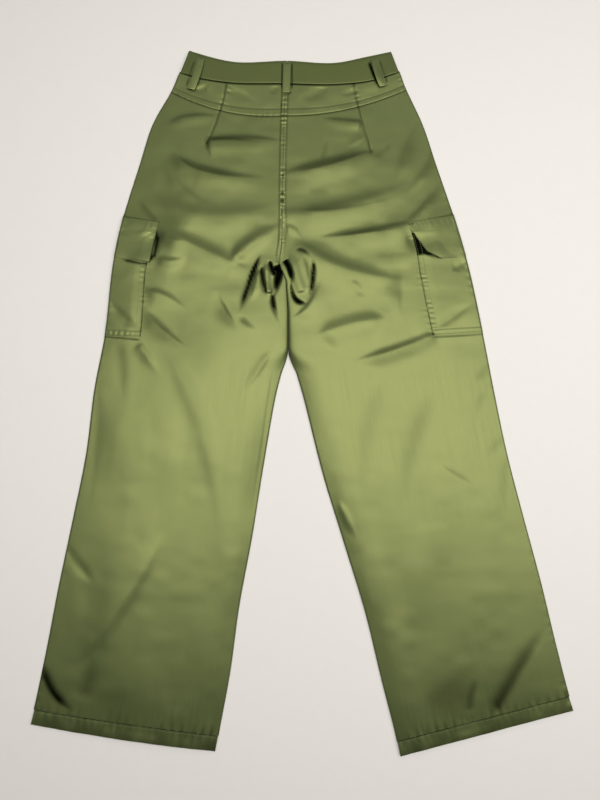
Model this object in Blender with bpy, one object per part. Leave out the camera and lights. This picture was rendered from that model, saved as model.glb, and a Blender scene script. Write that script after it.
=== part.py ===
"""Wide-leg cargo pants in woven twill, laid flat with the back up.

Metres, +Z up, waist towards +Y. The front panels rest on the plane z = 0 and the back panels lie on
them. Every panel is a grid of points: `down` runs from the waist seam to the hem, and `across` runs
from the outseam (0) to the centre or inseam (1). Left is the side at -X.
"""

from collections import namedtuple

import bmesh
import bpy
import numpy as np

# Cloth walls and the space kept between pieces
CLOTH = 0.0012
DOUBLE_CLOTH = 0.0016
HEM_CLOTH = 0.0018
GAP = 0.0003
FLAP_CLEARANCE = 0.0010
FLAP_CORNER_SHARE = 0.8
LAYER = CLOTH + GAP

# Waist
BAND_LIFT = 0.0028
BAND_RISE = 0.0035
BAND_SAMPLES = 241
FLY_SHARE = 0.48
BAND_SHARES = (0, 0.015, *np.arange(0.04, 0.97, 0.04), 0.985, 1)
LOOP_WIDTH = 0.011
LOOP_CLOTH = 0.0013
LOOP_ARCH = 0.0022
LOOP_ROWS = 8
LOOP_REACH = 0.022
BUTTON_RADIUS = 0.0085
BUTTON_THICKNESS = 0.0022
BUTTON_OFFSET = 0.016

# Hidden side
POCKET_WIDTH_UNDER = 0.34
FLY_ROWS = 8
FLY_COLUMNS = 3

# Share of a panel's width from the outseam, for the grid's columns past the pocket
ACROSS_PAST_POCKET = (0.33, 0.42, 0.51, 0.60, 0.69, 0.78, 0.87, 0.94, 0.98, 1.0)
ACROSS_IN_POCKET = (0.0, 0.08, 0.28, 0.6, 1.0)

# One row for each level of a leg: where its outseam and inner edge are, how far its line bows towards
# the waist, how high the back puffs up, how much of the puff is lost at the inner edge, and how many
# grid rows there are down to the next level
Level = namedtuple("Level", "name down outer_x outer_y inner_x inner_y bow puff inner_drop rows")

LEFT_LEVELS = (
    Level("waist", 0.000, -0.197, 0.505, -0.0270, 0.487, 0.000, 0.0035, 0.0, 4),
    Level("yoke", 0.045, -0.211, 0.471, -0.0290, 0.431, -0.014, 0.0055, 0.0, 3),
    Level("dart", 0.105, -0.238, 0.418, -0.0305, 0.372, -0.010, 0.0075, 0.0, 4),
    Level("hip", 0.180, -0.258, 0.348, -0.0315, 0.300, -0.005, 0.0090, 0.0, 4),
    Level("flap_top", 0.260, -0.281, 0.262, -0.0320, 0.228, 0.000, 0.0095, 0.0, 4),
    Level("flap_low", 0.325, -0.293, 0.199, -0.0370, 0.182, 0.000, 0.0100, 0.2, 6),
    Level("pocket_low", 0.450, -0.304, 0.073, -0.0220, 0.062, 0.000, 0.0090, 1.0, 3),
    Level("thigh", 0.540, -0.317, -0.010, -0.0410, -0.025, 0.000, 0.0080, 1.0, 2),
    Level("above_knee", 0.640, -0.326, -0.108, -0.0587, -0.130, 0.000, 0.0075, 1.0, 2),
    Level("knee", 0.740, -0.342, -0.205, -0.0745, -0.232, 0.000, 0.0070, 1.0, 2),
    Level("calf", 0.840, -0.359, -0.302, -0.0925, -0.332, 0.000, 0.0065, 1.0, 2),
    Level("shin", 0.940, -0.374, -0.398, -0.1055, -0.430, 0.000, 0.0060, 1.0, 1),
    Level("hem_seam", 1.020, -0.388, -0.477, -0.1205, -0.513, -0.002, 0.0045, 1.0, 1),
    Level("hem_edge", 1.040, -0.392, -0.497, -0.1240, -0.534, -0.003, 0.0040, 1.0, 0),
)
RIGHT_LEVELS = (
    Level("waist", 0.000, 0.157, 0.506, -0.0266, 0.487, 0.000, 0.0035, 0.0, 4),
    Level("yoke", 0.045, 0.168, 0.475, -0.0286, 0.431, -0.012, 0.0055, 0.0, 3),
    Level("dart", 0.105, 0.192, 0.418, -0.0301, 0.372, -0.008, 0.0075, 0.0, 4),
    Level("hip", 0.180, 0.213, 0.348, -0.0311, 0.300, -0.004, 0.0090, 0.0, 4),
    Level("flap_top", 0.260, 0.238, 0.265, -0.0316, 0.222, 0.000, 0.0095, 0.0, 4),
    Level("flap_low", 0.325, 0.255, 0.200, -0.0360, 0.180, 0.000, 0.0100, 0.2, 6),
    Level("pocket_low", 0.450, 0.278, 0.078, -0.0210, 0.060, 0.000, 0.0090, 1.0, 3),
    Level("thigh", 0.540, 0.292, -0.010, 0.0030, -0.028, 0.000, 0.0080, 1.0, 2),
    Level("above_knee", 0.640, 0.309, -0.108, 0.0300, -0.136, 0.000, 0.0075, 1.0, 2),
    Level("knee", 0.740, 0.330, -0.202, 0.0610, -0.238, 0.000, 0.0070, 1.0, 2),
    Level("calf", 0.840, 0.352, -0.296, 0.0920, -0.340, 0.000, 0.0065, 1.0, 2),
    Level("shin", 0.940, 0.371, -0.388, 0.1155, -0.438, 0.000, 0.0060, 1.0, 1),
    Level("hem_seam", 1.020, 0.387, -0.459, 0.1360, -0.521, 0.000, 0.0045, 1.0, 1),
    Level("hem_edge", 1.040, 0.392, -0.478, 0.1400, -0.541, 0.000, 0.0040, 1.0, 0),
)

# The line where the two halves meet, from the waist to the top of the space between the legs
MeetPoint = namedtuple("MeetPoint", "y x")
MEETING_LINE = (
    MeetPoint(-0.600, -0.0215),
    MeetPoint(0.110, -0.0215),
    MeetPoint(0.160, -0.0250),
    MeetPoint(0.190, -0.0365),
    MeetPoint(0.237, -0.0318),
    MeetPoint(0.431, -0.0288),
    MeetPoint(0.487, -0.0268),
)

# The waistband's lower and upper edges, from its left corner to its right one
BandPoint = namedtuple("BandPoint", "low_x low_y high_x high_y")
BAND_LINE = (
    BandPoint(-0.197, 0.505, -0.184, 0.541),
    BandPoint(-0.166, 0.4955, -0.153, 0.531),
    BandPoint(-0.125, 0.4885, -0.116, 0.522),
    BandPoint(-0.027, 0.486, -0.024, 0.523),
    BandPoint(0.062, 0.485, 0.058, 0.520),
    BandPoint(0.112, 0.491, 0.105, 0.530),
    BandPoint(0.157, 0.506, 0.145, 0.539),
)

# The largest folds of the back: a ridge (height > 0) or trough from its start to its end, bowed
# sideways by `bend` at mid length
Fold = namedtuple("Fold", "name start_x start_y end_x end_y bend width height")
FOLDS = (
    Fold("left_crotch_trough", -0.063, 0.207, -0.098, 0.108, 0.004, 0.011, -0.008),
    Fold("left_crotch_ridge", -0.052, 0.200, -0.070, 0.110, 0.000, 0.012, 0.007),
    Fold("left_inseam_trough", -0.042, 0.180, -0.038, 0.088, 0.004, 0.009, -0.007),
    Fold("left_outer_ridge", -0.100, 0.190, -0.128, 0.100, 0.010, 0.016, 0.005),
    Fold("right_crotch_ridge", -0.014, 0.214, 0.004, 0.130, 0.000, 0.010, 0.007),
    Fold("right_crotch_trough", 0.014, 0.205, 0.012, 0.125, 0.004, 0.010, -0.008),
    Fold("right_outer_ridge", 0.032, 0.215, 0.040, 0.120, 0.006, 0.014, 0.005),
    Fold("left_arch", -0.118, 0.200, -0.036, 0.250, 0.014, 0.012, 0.004),
    Fold("right_arch", -0.020, 0.250, 0.125, 0.160, 0.016, 0.014, 0.004),
    Fold("left_seat_low", -0.187, 0.233, -0.048, 0.238, -0.020, 0.013, -0.004),
    Fold("left_seat_mid", -0.227, 0.307, -0.057, 0.284, -0.012, 0.015, -0.005),
    Fold("left_seat_high", -0.201, 0.364, -0.078, 0.330, -0.006, 0.011, -0.004),
    Fold("right_seat_low", 0.041, 0.233, 0.205, 0.302, -0.018, 0.013, -0.004),
    Fold("right_seat_mid", -0.010, 0.277, 0.160, 0.312, -0.010, 0.014, -0.004),
    Fold("right_seat_high", -0.011, 0.344, 0.110, 0.375, 0.000, 0.012, -0.003),
    Fold("left_thigh", -0.169, -0.060, -0.136, -0.260, 0.012, 0.022, -0.004),
    Fold("left_shin", -0.223, -0.250, -0.330, -0.410, 0.006, 0.022, -0.003),
    Fold("right_thigh", 0.140, 0.010, 0.142, -0.170, 0.004, 0.020, -0.003),
    Fold("right_shin", 0.360, -0.350, 0.288, -0.470, -0.004, 0.020, -0.003),
)

# One row for each back belt loop: its top and bottom ends
Loop = namedtuple("Loop", "name top_x top_y low_x low_y")
BACK_LOOPS = (
    Loop("belt_loop_back_left", -0.1665, 0.533, -0.179, 0.481),
    Loop("belt_loop_back_centre", -0.024, 0.522, -0.026, 0.472),
    Loop("belt_loop_back_right", 0.117, 0.531, 0.127, 0.484),
)
FRONT_LOOPS = (
    Loop("belt_loop_front_left", -0.112, 0.520, -0.116, 0.474),
    Loop("belt_loop_front_right", 0.066, 0.519, 0.070, 0.472),
)

# Share of the panel's width that the pocket and the flap's lower edge cover on the back
Side = namedtuple("Side", "name levels sign pocket_across flap_low_across")
SIDES = (
    Side("left", LEFT_LEVELS, -1, 0.205, 0.19),
    Side("right", RIGHT_LEVELS, 1, 0.26, 0.14),
)

CLOTH_COLOUR = (0.235, 0.285, 0.092, 1.0)
BAND_COLOUR = (0.150, 0.185, 0.060, 1.0)
BUTTON_COLOUR = (0.060, 0.070, 0.035, 1.0)


def clear_scene():
    """Remove every object of the open scene."""
    for item in list(bpy.data.objects):
        bpy.data.objects.remove(item, do_unlink=True)


def make_material(name, colour, roughness):
    """Return a Principled material with this base colour and roughness."""
    material = bpy.data.materials.new(name)
    material.use_nodes = True
    shader = material.node_tree.nodes["Principled BSDF"]
    shader.inputs["Base Color"].default_value = colour
    shader.inputs["Roughness"].default_value = roughness
    shader.inputs["Metallic"].default_value = 0.0
    return material


def smooth_values(knots, values, at):
    """Values at `at` on a cubic curve that passes through every knot."""
    slopes = np.gradient(values, knots, axis=0)
    index = np.clip(np.searchsorted(knots, at, side="right") - 1, 0, len(knots) - 2)
    span = (knots[index + 1] - knots[index]).reshape(-1, *[1] * (values.ndim - 1))
    t = (at - knots[index]).reshape(span.shape) / span
    start = (2 * t**3 - 3 * t**2 + 1) * values[index] + (t**3 - 2 * t**2 + t) * span * slopes[index]
    end = (3 * t**2 - 2 * t**3) * values[index + 1] + (t**3 - t**2) * span * slopes[index + 1]
    return start + end


def smooth_step(low, high, value):
    """0 below low, 1 above high and an S curve between."""
    t = np.clip((value - low) / (high - low), 0.0, 1.0)
    return t * t * (3 - 2 * t)


def waist_rise(x):
    """How far the top layer of the waist stands off the bottom one, at x."""
    left, right = BAND_LINE[0].low_x, BAND_LINE[-1].low_x
    return BAND_RISE * smooth_step(left, left + 0.05, x) * smooth_step(-right, 0.05 - right, -x)


def fold_height(x, y):
    """Sum of all ridges and troughs at the points (x, y)."""
    total = np.zeros_like(x)
    for fold in FOLDS:
        run_x, run_y = fold.end_x - fold.start_x, fold.end_y - fold.start_y
        length = np.hypot(run_x, run_y)
        along = ((x - fold.start_x) * run_x + (y - fold.start_y) * run_y) / length**2
        aside = ((x - fold.start_x) * -run_y + (y - fold.start_y) * run_x) / length
        inside = np.clip(along, 0.0, 1.0)
        aside = aside - fold.bend * 4 * inside * (1 - inside)
        ends = smooth_step(-0.12, 0.25, along) * smooth_step(-1.12, -0.75, -along)
        total += fold.height * ends * np.exp(-(aside / fold.width) ** 2)
    return total


def grid_levels(levels, first, last):
    """The `down` value of every grid row between two named levels."""
    names = [level.name for level in levels]
    rows = []
    upper_levels = levels[names.index(first):names.index(last)]
    for level, following in zip(upper_levels, levels[names.index(first) + 1:]):
        rows.extend(np.linspace(level.down, following.down, level.rows, endpoint=False))
    rows.append(levels[names.index(last)].down)
    return np.array(rows)


def grid_columns(side):
    """The `across` value of every grid column, denser in the pocket and at the edges."""
    in_pocket = np.array(ACROSS_IN_POCKET) * side.pocket_across
    return np.concatenate([in_pocket, ACROSS_PAST_POCKET])


def band_points(high, x_share):
    """Points along the waistband's lower (high = 0) to upper (high = 1) edge."""
    table = np.array(BAND_LINE)
    edge = table[:, :2] * (1 - high) + table[:, 2:] * high
    knots = (table[:, 0] - table[0, 0]) / (table[-1, 0] - table[0, 0])
    return smooth_values(knots, edge, x_share)


def plan_points(side, down, across):
    """Points (x, y) of one half at the given rows and columns."""
    levels = side.levels
    outer = np.array([(level.outer_x, level.outer_y) for level in levels])[:, None, :]
    inner = np.array([(level.inner_x, level.inner_y) for level in levels])[:, None, :]
    bow = np.array([level.bow for level in levels])[:, None]
    share = across[None, :, None]
    points = outer * (1 - share) + inner * share
    points[:, :, 1] += bow * 4 * across * (1 - across)
    band = band_points(0.0, np.linspace(0, 1, BAND_SAMPLES))
    points[0, :, 1] = np.interp(points[0, :, 0], band[:, 0], band[:, 1]) - GAP
    knots = np.array([level.down for level in levels])
    plan = smooth_values(knots, points, down)
    meeting = np.interp(plan[:, :, 1], [p.y for p in MEETING_LINE], [p.x for p in MEETING_LINE])
    limit = meeting + side.sign * GAP / 2
    plan[:, :, 0] = np.where(plan[:, :, 0] * side.sign < limit * side.sign, limit, plan[:, :, 0])
    return plan


def level_column(side, name, down):
    """One column of the level table at the given rows, as straight runs between levels."""
    values = [getattr(level, name) for level in side.levels]
    return np.interp(down, [level.down for level in side.levels], values)


def back_puff(side, down, across, plan):
    """Height of the back panel's underside above what it lies on."""
    puff = level_column(side, "puff", down)[:, None]
    drop = level_column(side, "inner_drop", down)[:, None]
    outer_edge = 1 - (1 - np.clip(across / 0.16, 0, 1)) ** 2.5
    inner_edge = 1 - drop * (np.clip((across - 0.84) / 0.16, 0, 1)) ** 2.5
    body = puff * outer_edge * inner_edge
    folds = fold_height(plan[:, :, 0], plan[:, :, 1]) * np.minimum(body / 0.004, 1.0)
    fade = smooth_step(-1.02, -0.95, -down)[:, None]
    return np.maximum(body + folds * fade, 0.0)


def with_height(plan, height):
    """Join plan points (x, y) and heights into 3-D points."""
    return np.dstack([plan, np.broadcast_to(height, plan.shape[:2])])


def make_wall(name, inner, outer, material, closed=False):
    """Build one closed solid between two grids of points; `closed` joins the last column to the first."""
    rows, columns = inner.shape[:2]
    mesh = bpy.data.meshes.new(name)
    build = bmesh.new()
    faces = [[build.verts.new(point) for point in grid.reshape(-1, 3)] for grid in (inner, outer)]
    last = columns if closed else columns - 1
    for row in range(rows - 1):
        for column in range(last):
            beside = (column + 1) % columns
            corners = (row * columns + column, row * columns + beside,
                       (row + 1) * columns + beside, (row + 1) * columns + column)
            build.faces.new([faces[0][corner] for corner in corners])
            build.faces.new([faces[1][corner] for corner in reversed(corners)])
    rim = [(row * columns + column, row * columns + (column + 1) % columns)
           for row in (0, rows - 1) for column in range(last)]
    if not closed:
        rim += [(row * columns + column, (row + 1) * columns + column)
                for column in (0, columns - 1) for row in range(rows - 1)]
    for first, second in rim:
        build.faces.new([faces[0][first], faces[0][second], faces[1][second], faces[1][first]])
    bmesh.ops.recalc_face_normals(build, faces=build.faces)
    build.to_mesh(mesh)
    build.free()
    if signed_volume(mesh) < 0:
        mesh.flip_normals()
    mesh.materials.append(material)
    mesh.shade_smooth()
    mesh.set_sharp_from_angle(angle=0.6)
    piece = bpy.data.objects.new(name, mesh)
    bpy.context.scene.collection.objects.link(piece)
    return piece


def signed_volume(mesh):
    """Volume of a closed mesh, negative when its faces point inwards."""
    mesh.calc_loop_triangles()
    corners = np.array([[mesh.vertices[i].co[:] for i in tri.vertices] for tri in mesh.loop_triangles])
    return np.einsum("ij,ij->i", corners[:, 0], np.cross(corners[:, 1], corners[:, 2])).sum() / 6


class Half:
    """The grids of one half of the garment, which its panels, pocket and flap share."""

    def __init__(self, side):
        self.side = side
        self.down = grid_levels(side.levels, "waist", "hem_seam")
        self.down[-1] -= GAP
        self.across = grid_columns(side)
        self.plan = plan_points(side, self.down, self.across)
        self.pocket_columns = len(ACROSS_IN_POCKET)
        self.flap_rows = self.rows_between("flap_top", "flap_low")
        self.pocket_rows = self.rows_between("flap_top", "pocket_low")[1:]
        self.under_columns = np.flatnonzero(self.across <= POCKET_WIDTH_UNDER)
        self.layers = self.layers_below()
        lift = self.layers * LAYER
        lift[:2] += BAND_LIFT
        self.front_low = with_height(self.plan, lift)
        self.front_high = with_height(self.plan, lift + CLOTH)
        rise = back_puff(side, self.down, self.across, self.plan)
        rise[0] = waist_rise(self.plan[0, :, 0])
        self.back_low = with_height(self.plan, lift + LAYER + rise)
        self.back_high = with_height(self.plan, lift + LAYER + rise + CLOTH)

    def rows_between(self, first, last):
        """Indices of the grid rows from one named level to another."""
        downs = {level.name: level.down for level in self.side.levels}
        inside = (self.down > downs[first] - 1e-6) & (self.down < downs[last] + 1e-6)
        return np.flatnonzero(inside)

    def layers_below(self):
        """How many layers of pocket cloth the front panel lies on, at every grid point."""
        layers = np.zeros(self.plan.shape[:2])
        layers[np.ix_(self.pocket_rows, self.under_columns)] += 1
        layers[np.ix_(self.flap_rows, self.under_columns)] += 1
        return layers

    def outward(self):
        """Unit vectors in the plan that point out of the outseam, one for each row."""
        away = self.plan[:, 0] - self.plan[:, 1]
        return away / np.linalg.norm(away, axis=1)[:, None]

    def sample(self, grid, row, across):
        """Points of one grid row at any `across` values."""
        return np.stack([np.interp(across, self.across, grid[row, :, axis]) for axis in range(3)], axis=-1)

    def wrap(self, row, across_top, across_under, top_gap, under_gap, wall):
        """Inner and outer line of a piece that runs over the back, round the outseam and under the front."""
        top = self.sample(self.back_high, row, across_top)
        under = self.sample(self.front_low, row, across_under)
        out = np.append(self.outward()[row], 0.0)
        lines = []
        for extra in (0.0, wall):
            above = top + [0, 0, top_gap + extra]
            below = under - [0, 0, under_gap + extra]
            reach = out * (GAP + max(top_gap, under_gap) + extra)
            lines.append(np.concatenate([above, [above[-1] + reach], [below[0] + reach], below]))
        return lines


def build_panels(half, material):
    """Front panel, back yoke and back panel of one half."""
    name = half.side.name
    make_wall(f"front_panel_{name}", half.front_low, half.front_high, material)
    seam = np.flatnonzero(half.down > half.side.levels[1].down - 1e-6)[0]
    yoke_low = half.back_low[:seam + 1].copy()
    yoke_high = half.back_high[:seam + 1].copy()
    for grid in (yoke_low, yoke_high):
        grid[-1, :, 1] += GAP
    make_wall(f"back_yoke_{name}", yoke_low, yoke_high, material)
    make_wall(f"back_panel_{name}", half.back_low[seam:], half.back_high[seam:], material)


def build_pocket(half, material):
    """Patch pocket that wraps round the outseam."""
    top = half.across[:half.pocket_columns][::-1]
    under = half.across[half.under_columns]
    lines = [half.wrap(row, top, under, GAP, GAP, CLOTH) for row in half.pocket_rows]
    make_wall(f"cargo_pocket_{half.side.name}", np.array([line[0] for line in lines]),
              np.array([line[1] for line in lines]), material)


def build_flap(half, material):
    """Flap over the pocket's mouth, with a clipped corner on the back."""
    rows = half.flap_rows
    shares = np.linspace(half.side.pocket_across, half.side.flap_low_across, len(rows))
    shares[:2] = half.side.pocket_across
    under = half.across[half.under_columns]
    lines = []
    for row, share in zip(rows, shares):
        on_pocket = row in half.pocket_rows
        stack = (LAYER if on_pocket else 0.0)
        top = half.across[:half.pocket_columns][::-1].copy()
        top[0] = share
        top[1] = min(top[1], share * FLAP_CORNER_SHARE)
        clearance = stack + (FLAP_CLEARANCE if on_pocket else GAP)
        lines.append(half.wrap(row, top, under, clearance, stack + GAP, CLOTH))
    make_wall(f"cargo_flap_{half.side.name}", np.array([line[0] for line in lines]),
              np.array([line[1] for line in lines]), material)


def ring_section(outer_plan, wall, low, rise):
    """Outer and inner loop of a flattened tube: along its underside, then back along its top."""
    edge = outer_plan[0] - outer_plan[1]
    edge = edge / np.linalg.norm(edge)
    inset_plan = outer_plan.copy()
    inset_plan[0] = outer_plan[0] - edge * wall
    inset_plan[-1] = outer_plan[-1] + edge * wall
    thick = wall * 2 + GAP
    flat = np.full(len(outer_plan), low)
    loops = []
    for plan, bottom, top in ((outer_plan, 0.0, thick), (inset_plan, wall, wall + GAP)):
        under = np.column_stack([plan, flat + bottom])
        over = np.column_stack([plan, low + rise + top])[::-1]
        loops.append(np.concatenate([under, over]))
    return loops


def build_hem(half, material):
    """Turned-up hem of one leg, as a flattened tube of two layers of cloth."""
    side = half.side
    down = np.array([side.levels[-2].down + GAP, side.levels[-1].down])
    across = half.across
    plan = plan_points(side, down, across)
    puff = back_puff(side, down, across, plan)
    loops = [ring_section(plan[row], HEM_CLOTH, 0.0, puff[row]) for row in range(len(down))]
    make_wall(f"hem_{side.name}", np.array([loop[1] for loop in loops]),
              np.array([loop[0] for loop in loops]), material, closed=True)


def build_waistband(material):
    """Waistband: one strip from the fly round the back and on to the fly again."""
    shares = np.array(BAND_SHARES)
    lines = ([], [])
    for high in (0.0, 0.5, 1.0):
        plan = band_points(high, shares)
        loops = ring_section(plan, DOUBLE_CLOTH, BAND_LIFT, waist_rise(plan[:, 0]))
        count = len(shares)
        for line, loop in zip(lines, loops):
            under, over = loop[:count], loop[count:]
            left = under[shares < FLY_SHARE - 1e-6]
            right = under[shares > FLY_SHARE + 1e-6]
            middle = under[np.argmin(np.abs(shares - FLY_SHARE))]
            end = [GAP, 0, 0]
            line.append(np.concatenate([[middle + end], right, over, left, [middle - end]]))
    make_wall("waistband", np.array(lines[1]), np.array(lines[0]), material)


def highest_near(halves, x, y):
    """Greatest height of the yokes' upper side within reach of a point."""
    points = np.concatenate([half.back_high[:6].reshape(-1, 3) for half in halves])
    near = np.hypot(points[:, 0] - x, points[:, 1] - y) < LOOP_REACH
    return points[near, 2].max(initial=0.0)


def build_loop(loop, low, arch, material):
    """Belt loop: a strip that bows away from the band between its two sewn ends."""
    along = np.linspace(0, 1, LOOP_ROWS)
    top = np.array([loop.top_x, loop.top_y])
    foot = np.array([loop.low_x, loop.low_y])
    run = (foot - top) / np.linalg.norm(foot - top)
    aside = np.array([-run[1], run[0]]) * LOOP_WIDTH / 2
    centre = top + np.outer(along, foot - top)
    height = low + arch * np.sin(np.pi * along) ** 0.7
    inner = np.stack([np.column_stack([centre + sign * aside, height]) for sign in (-1, 1)], axis=1)
    outer = inner + [0, 0, LOOP_CLOTH]
    make_wall(loop.name, inner, outer, material)


def build_loops(halves, material):
    """Three loops on the back of the waistband and two under its front."""
    band_top = BAND_LIFT + DOUBLE_CLOTH * 2 + GAP
    for loop in BACK_LOOPS:
        x = np.linspace(loop.top_x, loop.low_x, LOOP_ROWS)
        y = np.linspace(loop.top_y, loop.low_y, LOOP_ROWS)
        on_yoke = [highest_near(halves, *point) for point in zip(x, y)]
        low = np.maximum(on_yoke, band_top + waist_rise(x)) + LAYER / 2
        build_loop(loop, low, LOOP_ARCH, material)
    for loop in FRONT_LOOPS:
        build_loop(loop, 0.0, 0.0, material)


def build_fly(left, right, material):
    """Placket behind the front opening, on the points of both front panels beside the centre."""
    columns = slice(-FLY_COLUMNS, None)
    left_part = left.front_high[:FLY_ROWS, columns]
    right_part = right.front_high[:FLY_ROWS, columns][:, ::-1]
    low = np.concatenate([left_part, right_part], axis=1)
    low = low + [0, 0, GAP]
    make_wall("fly_placket", low, low + [0, 0, CLOTH], material)


def build_button(material):
    """Waistband button, face down under the fly end of the band."""
    middle = band_points(0.5, np.array([FLY_SHARE]))[0]
    bpy.ops.mesh.primitive_cylinder_add(vertices=24, radius=BUTTON_RADIUS, depth=BUTTON_THICKNESS,
                                        location=(middle[0] + BUTTON_OFFSET, middle[1], BUTTON_THICKNESS / 2))
    button = bpy.context.active_object
    button.name = "waist_button"
    button.data.name = "waist_button"
    button.data.materials.append(material)


def main():
    """Build every piece of the pants."""
    clear_scene()
    halves = [Half(side) for side in SIDES]
    for half in halves:
        name = half.side.name
        build_panels(half, make_material(f"twill_panel_{name}", CLOTH_COLOUR, 0.5))
        build_pocket(half, make_material(f"twill_pocket_{name}", CLOTH_COLOUR, 0.5))
        build_flap(half, make_material(f"twill_flap_{name}", CLOTH_COLOUR, 0.5))
        build_hem(half, make_material(f"twill_hem_{name}", BAND_COLOUR, 0.5))
    build_waistband(make_material("twill_waistband", BAND_COLOUR, 0.5))
    build_loops(halves, make_material("twill_loops", BAND_COLOUR, 0.5))
    build_fly(halves[0], halves[1], make_material("twill_fly", BAND_COLOUR, 0.5))
    build_button(make_material("button_resin", BUTTON_COLOUR, 0.35))


main()
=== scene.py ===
"""Wide-leg cargo pants in satin-faced twill, laid flat with the back up.

Every cloth piece is a thin shell on a surface that is worked out from the garment's own cut. `down`
is the distance along a leg from the waist seam to the hem, and `across` runs from the outseam (0) to
the centre seam or inseam (1). All lengths are in metres, apart from the tables of creases, which are in
millimetres; +Y points to the waist.
"""
import logging
import math
from dataclasses import dataclass, field
from enum import Enum
from typing import Callable

import bpy
import numpy as np
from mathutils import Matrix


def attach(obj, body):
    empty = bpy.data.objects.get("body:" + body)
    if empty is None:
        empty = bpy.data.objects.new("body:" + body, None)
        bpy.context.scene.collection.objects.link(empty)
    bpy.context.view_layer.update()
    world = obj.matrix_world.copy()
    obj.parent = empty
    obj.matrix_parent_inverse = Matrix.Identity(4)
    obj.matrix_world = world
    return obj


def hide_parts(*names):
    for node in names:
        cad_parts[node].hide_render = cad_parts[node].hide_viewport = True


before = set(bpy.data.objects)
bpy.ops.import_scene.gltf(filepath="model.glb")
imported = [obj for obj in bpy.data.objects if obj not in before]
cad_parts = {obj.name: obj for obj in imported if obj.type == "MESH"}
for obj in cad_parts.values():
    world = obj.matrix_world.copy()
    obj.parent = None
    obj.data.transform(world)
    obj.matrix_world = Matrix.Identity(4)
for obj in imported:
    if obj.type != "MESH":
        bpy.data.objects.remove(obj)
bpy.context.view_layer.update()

Array = np.ndarray
Surface = Callable[[Array, Array], Array]
Piece = bpy.types.Object
Material = bpy.types.Material
Tree = bpy.types.NodeTree
Socket = bpy.types.NodeSocket
LOG = logging.getLogger("cargo_pants")
BODY = "root"
# Name of the point attribute that carries painted shade into the cloth's colour and gloss
PAINTED_SHADE = "painted_shade"
LATTICE = (97, 89)
SHARP_ANGLE = 62.0
BAND_SAMPLES = 241
MILLIMETRE = 0.001

# Where the camera stands, as (x, y), and how high
EYE = (-0.0033, -0.1229)
EYE_HEIGHT = 0.91


# ---- Small mathematics ----

def smooth_step(low: float, high: float, value: Array) -> Array:
    """S curve from 0 at low to 1 at high: 3t^2 - 2t^3 with t the clipped share of the way.

    Args:
        low: value where the curve leaves 0.
        high: value where the curve reaches 1.
        value: where to read the curve.
    Returns:
        The curve's height at each value.
    """
    share = np.clip((value - low) / (high - low), 0.0, 1.0)
    return share * share * (3 - 2 * share)


def bell(value: Array, width: float | Array) -> Array:
    """Bell curve exp(-(value / width)^2)."""
    return np.exp(-((value / width) ** 2))


def spread(first: Array | float, second: Array | float) -> list[Array]:
    """Both parameters of a surface as float arrays of one shape."""
    return np.broadcast_arrays(np.asarray(first, float), np.asarray(second, float))


def unit(vectors: Array) -> Array:
    """Vectors on the last axis, scaled to length 1."""
    return vectors / np.maximum(np.linalg.norm(vectors, axis=-1, keepdims=True), 1e-12)


def run_length(points: Array) -> Array:
    """Distance run along each row of a grid of points, from its first column."""
    steps = np.diff(points, axis=1, prepend=points[:, :1])
    return np.cumsum(np.linalg.norm(steps, axis=-1), axis=1)


def smooth_curve(knots: Array, values: Array, at: Array) -> Array:
    """Cubic Hermite curve through all knots, whose slopes are the mean slopes beside each knot.

    Args:
        knots: rising positions of the knots.
        values: one value for each knot.
        at: positions to read, of any shape.
    Returns:
        Curve values in the shape of `at`.
    """
    slopes = np.gradient(values, knots)
    index = np.clip(np.searchsorted(knots, at, side="right") - 1, 0, len(knots) - 2)
    span = knots[index + 1] - knots[index]
    t = (at - knots[index]) / span
    start = (2 * t**3 - 3 * t**2 + 1) * values[index] + (t**3 - 2 * t**2 + t) * span * slopes[index]
    return start + (3 * t**2 - 2 * t**3) * values[index + 1] + (t**3 - t**2) * span * slopes[index + 1]


def soft_noise(x: Array, y: Array, cell: float, seed: int) -> Array:
    """Value noise in -1..1: lattice values `cell` apart, blended with the curve 6t^5 - 15t^4 + 10t^3.

    Args:
        x: first coordinate.
        y: second coordinate, of the same shape.
        cell: distance between lattice points.
        seed: picks one fixed lattice.
    Returns:
        Noise at each point.
    """
    across, along = LATTICE
    lattice = np.random.default_rng(seed).uniform(-1, 1, LATTICE)
    low_x, low_y = np.floor(x / cell), np.floor(y / cell)
    share_x, share_y = x / cell - low_x, y / cell - low_y
    blend_x = share_x**3 * (share_x * (share_x * 6 - 15) + 10)
    blend_y = share_y**3 * (share_y * (share_y * 6 - 15) + 10)
    column, row = low_x.astype(int) % across, low_y.astype(int) % along
    next_column, next_row = (column + 1) % across, (row + 1) % along
    near = lattice[column, row] * (1 - blend_x) + lattice[next_column, row] * blend_x
    far = lattice[column, next_row] * (1 - blend_x) + lattice[next_column, next_row] * blend_x
    return near * (1 - blend_y) + far * blend_y


def graded(stops: list[tuple[float, float]], count: int) -> Array:
    """Positions from the first stop to the last, packed in proportion to a density at each stop.

    Args:
        stops: (position, density) pairs; the density runs straight between them.
        count: how many positions.
    Returns:
        Rising positions, read from the inverse of the density's running sum.
    """
    place = np.array([stop[0] for stop in stops])
    fine = np.linspace(place[0], place[-1], 4001)
    density = np.interp(fine, place, [stop[1] for stop in stops])
    total = np.concatenate([[0], np.cumsum((density[1:] + density[:-1]) / 2)])
    return np.interp(np.linspace(0, total[-1], count), total, fine)


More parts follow.
